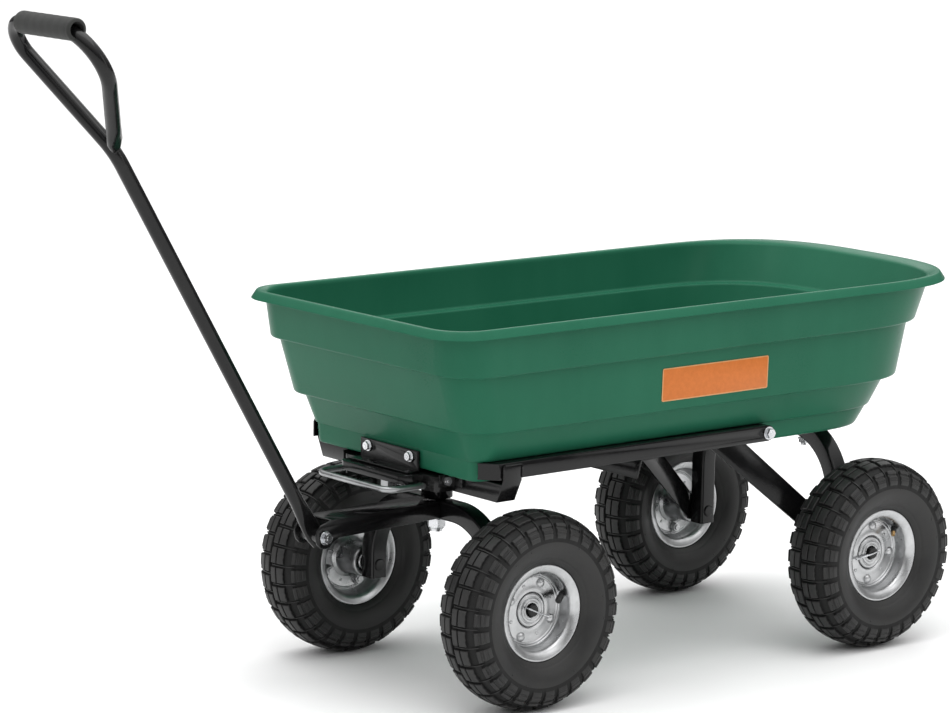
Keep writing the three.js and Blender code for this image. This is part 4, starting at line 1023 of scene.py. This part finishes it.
# ------------------------------------------------------------------ handle
REST_ANGLE = 59.1  # degrees above the ground
HANDLE_TURN = Matrix.Translation(HANDLE_PIVOT) @ Matrix.Rotation(-math.radians(REST_ANGLE), 4, "Y")
TUBE_RADIUS = 9.5
# Along the handle from its pivot: where the tube bends into the loop, and the grip's middle.
LOOP_START, GRIP_AT = 604, 783
LOOP_HALF = 118
# The tube's ends are flattened: thickness, and width at the pivot and where the loop closes.
FLAT, PIVOT_WIDTH, TAIL_WIDTH = 8.5, 25, 23
GRIP_RADIUS, GRIP_HALF, GRIP_BORE = 14, 60, 9.8


def oval(width, depth, power, sides=32):
    """A closed outline between an ellipse (power 2) and a flat bar."""
    out = []
    for u, v in circle(1, sides):
        out.append((math.copysign(abs(u) ** (2 / power), u) * width / 2,
                    math.copysign(abs(v) ** (2 / power), v) * depth / 2))
    return out


def eased(t):
    t = min(max(t, 0), 1)
    return t * t * (3 - 2 * t)


def handle_tube():
    """One tube from the pivot, round the loop and back to the shaft."""
    corners = [(-14, 0, 0), (LOOP_START - 4, 0, 0), (GRIP_AT, -LOOP_HALF, 0),
               (GRIP_AT, LOOP_HALF, 0), (LOOP_START + 2, 5.5, 0)]
    stations = filled(bent(corners, [0, 70, 32, 52, 0], 20), 14)
    total = sum((b[0] - a[0]).length for a, b in zip(stations, stations[1:]))
    tube = 2 * TUBE_RADIUS

    def section(i, walked):
        left = total - walked
        low, high = 1 - eased((walked - 26) / 46), 1 - eased((left - 6) / 34)
        flat = max(low, high)
        tip = 1 - 0.25 * max(0, 1 - walked / 6) ** 2 - 0.35 * max(0, 1 - left / 7) ** 2
        width = (tube + (PIVOT_WIDTH - tube) * low + (TAIL_WIDTH - tube) * high) * tip
        return oval(width, tube + (FLAT - tube) * flat, 2 + 1.2 * flat)

    return sweep(stations, section, Vector((0, 0, 1)))


def handle_pieces():
    shape = Shape().add(handle_tube())
    sleeve = [(4.4, -20.4), (8.6, -20.4), (9.2, -19.8), (9.2, 19.8), (8.6, 20.4), (4.4, 20.4)]
    shape.add(lathe(sleeve, 36))
    for x, y in ((-2, 7.2), (8, 4.6)):
        shape.add(bead((LOOP_START + x, y, -5.5), (LOOP_START + x, y, 5.5), 2, x))
    show("handle_frame", shape, "handle", "black_paint", "handle_tube", 40, HANDLE_TURN)

    end = [(GRIP_BORE, GRIP_HALF), (12.4, GRIP_HALF), (GRIP_RADIUS, GRIP_HALF - 2.4)]
    ripples = [(GRIP_RADIUS + 0.12 * math.sin(k * 1.9), -55 + 5 * k) for k in range(23)]
    profile = [(r, -h) for r, h in end] + ripples + end[::-1]
    grip = Shape().add(lathe(rounded(profile, 1.2, 3), 56))
    turn = HANDLE_TURN @ Matrix.Translation((GRIP_AT, 0, 0))
    foam = show("grip_foam", grip, "handle", "foam", "foam_grip", 50, turn)


# ----------------------------------------------------------------- release
BOW_WIRE, BOW_HALF, BOW_FRONT_X = 4.2, 76, 441
# The latch that is welded to the bow's bar, as X and Z.
HOOK = [(388, 283), (382.5, 283), (382.5, 273.5), (374.5, 273.5), (374.5, 268.5), (388, 268.5)]
HOOK_HALF = 7.5
COIL_TURNS, COIL_RADIUS, COIL_PITCH, COIL_START, COIL_WIRE = 5, 6.4, 2.1, 26, 0.8


def release_bow():
    """A bar in the front plate's bearings with a D-shaped pull and a latch."""
    x, _, z = RELEASE_PIVOT
    corners = [(x, -BOW_HALF, z), (BOW_FRONT_X, -BOW_HALF, z), (BOW_FRONT_X, BOW_HALF, z),
               (x, BOW_HALF, z)]
    stations = filled(bent(corners, [0, 18, 18, 0], 14), 12)
    shape = Shape().add(sweep(stations, round_section(BOW_WIRE, 20), Vector((0, 0, 1))))
    end = BOW_HALF + 3
    bar = disc_ring([(0, -end), (BOW_WIRE, -end), (BOW_WIRE, end), (0, end)], 0.8, 24)
    shape.add(bar, Matrix.Translation(RELEASE_PIVOT))
    points = [(u, y, v) for y in (-HOOK_HALF, HOOK_HALF) for u, v in HOOK]
    shape.add((points, lids(2, len(HOOK)) + skin(2, len(HOOK))))
    show("release_bow", shape, "release", "zinc_plate", "release_ring", 50, finish=DULL,
         bevel=0.5 * MM)


def release_spring():
    """A torsion spring round the bar, with a straight leg at each end."""
    x, _, z = RELEASE_PIVOT
    end = COIL_START + COIL_PITCH * COIL_TURNS
    path = [Vector((x - 9, COIL_START - 1, z + COIL_RADIUS + 2))]
    for k in range(16 * COIL_TURNS + 1):
        a = math.pi / 2 + math.pi / 8 * k
        path.append(Vector((x + COIL_RADIUS * math.cos(a), COIL_START + COIL_PITCH * k / 16,
                            z + COIL_RADIUS * math.sin(a))))
    path.append(Vector((x + 10, end + 1, z + COIL_RADIUS + 1.5)))
    coil = sweep(through(path), round_section(COIL_WIRE, 10), Vector((0, 1, 0.01)))
    show("spring_coil", Shape().add(coil), "front_frame", "zinc_plate", "release_spring", 60)


# ------------------------------------------------------------------- build
tray_piece()
label_piece()
fastenings()
arch_piece("front_arch_tube", "front_axle", "front_axle_arch", FRONT_X, 244, 133, FRONT_TRACK)
arch_piece("rear_arch_tube", "tray_assembly", "rear_axle_arch", REAR_X, 299.7, 137, REAR_TRACK)
frame_pieces()
release_bow()
release_spring()
wheels()
handle_pieces()

# ------------------------------------------------------------------- stage
FLOOR_HALF = 60  # metres
SOFTBOXES = (  # name, place, width and height in metres, watts
    ("overhead", (0.2, 0.3, 3.2), (3.0, 2.4), 45),
    ("left_box", (3.4, -0.6, 1.9), (0.3, 2.2), 3.5),
    ("right_box", (-1.6, 3.6, 1.8), (0.8, 2.0), 11),
    ("back_box", (-2.6, -2.4, 2.2), (2.0, 1.4), 14),
)
LIT = Vector((0, 0, 0.35))  # the point that every softbox faces


def stage():
    corners = [(x, y, 0) for x in (-FLOOR_HALF, FLOOR_HALF) for y in (-FLOOR_HALF, FLOOR_HALF)]
    n = Nodes("floor")
    tone = n.noise(3, 3)
    n.colour(n.blend(n.span(tone, 0, 1), (0.90, 0.90, 0.90), (0.94, 0.94, 0.94)))
    n.rough(n.span(tone, 0.72, 0.82))
    finish = n.fixed(Specular_IOR_Level=0.1)
    mesh = Shape().add((corners, [[0, 2, 3, 1]])).mesh("floor", [finish])
    in_scene("floor", mesh)


def softbox(name, at, size, power):
    lamp = bpy.data.lights.new(name, "AREA")
    lamp.shape = "RECTANGLE"
    lamp.size, lamp.size_y = size
    lamp.energy = power
    holder = in_scene(name, lamp)
    holder.location = at
    holder.rotation_euler = (LIT - Vector(at)).to_track_quat("-Z", "Y").to_euler()


def sky():
    """A dome that is bright overhead and dim near the horizon."""
    world = bpy.data.worlds.new("studio")
    world.use_nodes = True
    tree = world.node_tree
    background = tree.nodes["Background"]
    split = tree.nodes.new("ShaderNodeSeparateXYZ")
    tree.links.new(tree.nodes.new("ShaderNodeTexCoord").outputs["Generated"], split.inputs[0])
    height = tree.nodes.new("ShaderNodeMapRange")
    height.interpolation_type = "SMOOTHSTEP"
    limits = {"From Min": 0.05, "From Max": 0.85, "To Min": 0.12, "To Max": 1.55}
    for name, value in limits.items():
        height.inputs[name].default_value = value
    tree.links.new(split.outputs["Z"], height.inputs["Value"])
    background.inputs["Color"].default_value = (1, 1, 1, 1)
    tree.links.new(height.outputs["Result"], background.inputs["Strength"])
    bpy.context.scene.world = world


# The photo's angle: the eye in millimetres, its heading in radians and the lens on a
# 36 mm sensor.
EYE = Vector((3519.298, 4016.169, 1327.558))
YAW, PITCH, ROLL = -2.255659, -0.1722214, 0.01672597
SENSOR, FOCAL_LENGTH = 36, 151.483832


def camera():
    lens = bpy.data.cameras.new("camera")
    lens.sensor_width = SENSOR
    lens.lens = FOCAL_LENGTH
    lens.clip_end = 100
    eye = in_scene("camera", lens)
    flat = Vector((math.cos(YAW), math.sin(YAW), 0))
    ahead = flat * math.cos(PITCH) + Vector((0, 0, math.sin(PITCH)))
    level = ahead.cross(Vector((0, 0, 1))).normalized()
    upright = level.cross(ahead)
    right = level * math.cos(ROLL) + upright * math.sin(ROLL)
    up = upright * math.cos(ROLL) - level * math.sin(ROLL)
    turn = Matrix((right, up, -ahead)).transposed().to_4x4()
    eye.matrix_world = Matrix.Translation(TO_ROW @ EYE) @ turn
    bpy.context.scene.camera = eye
    bpy.context.scene.view_settings.view_transform = "Standard"


stage()
sky()
for name, at, size, power in SOFTBOXES:
    softbox(name, at, size, power)
camera()
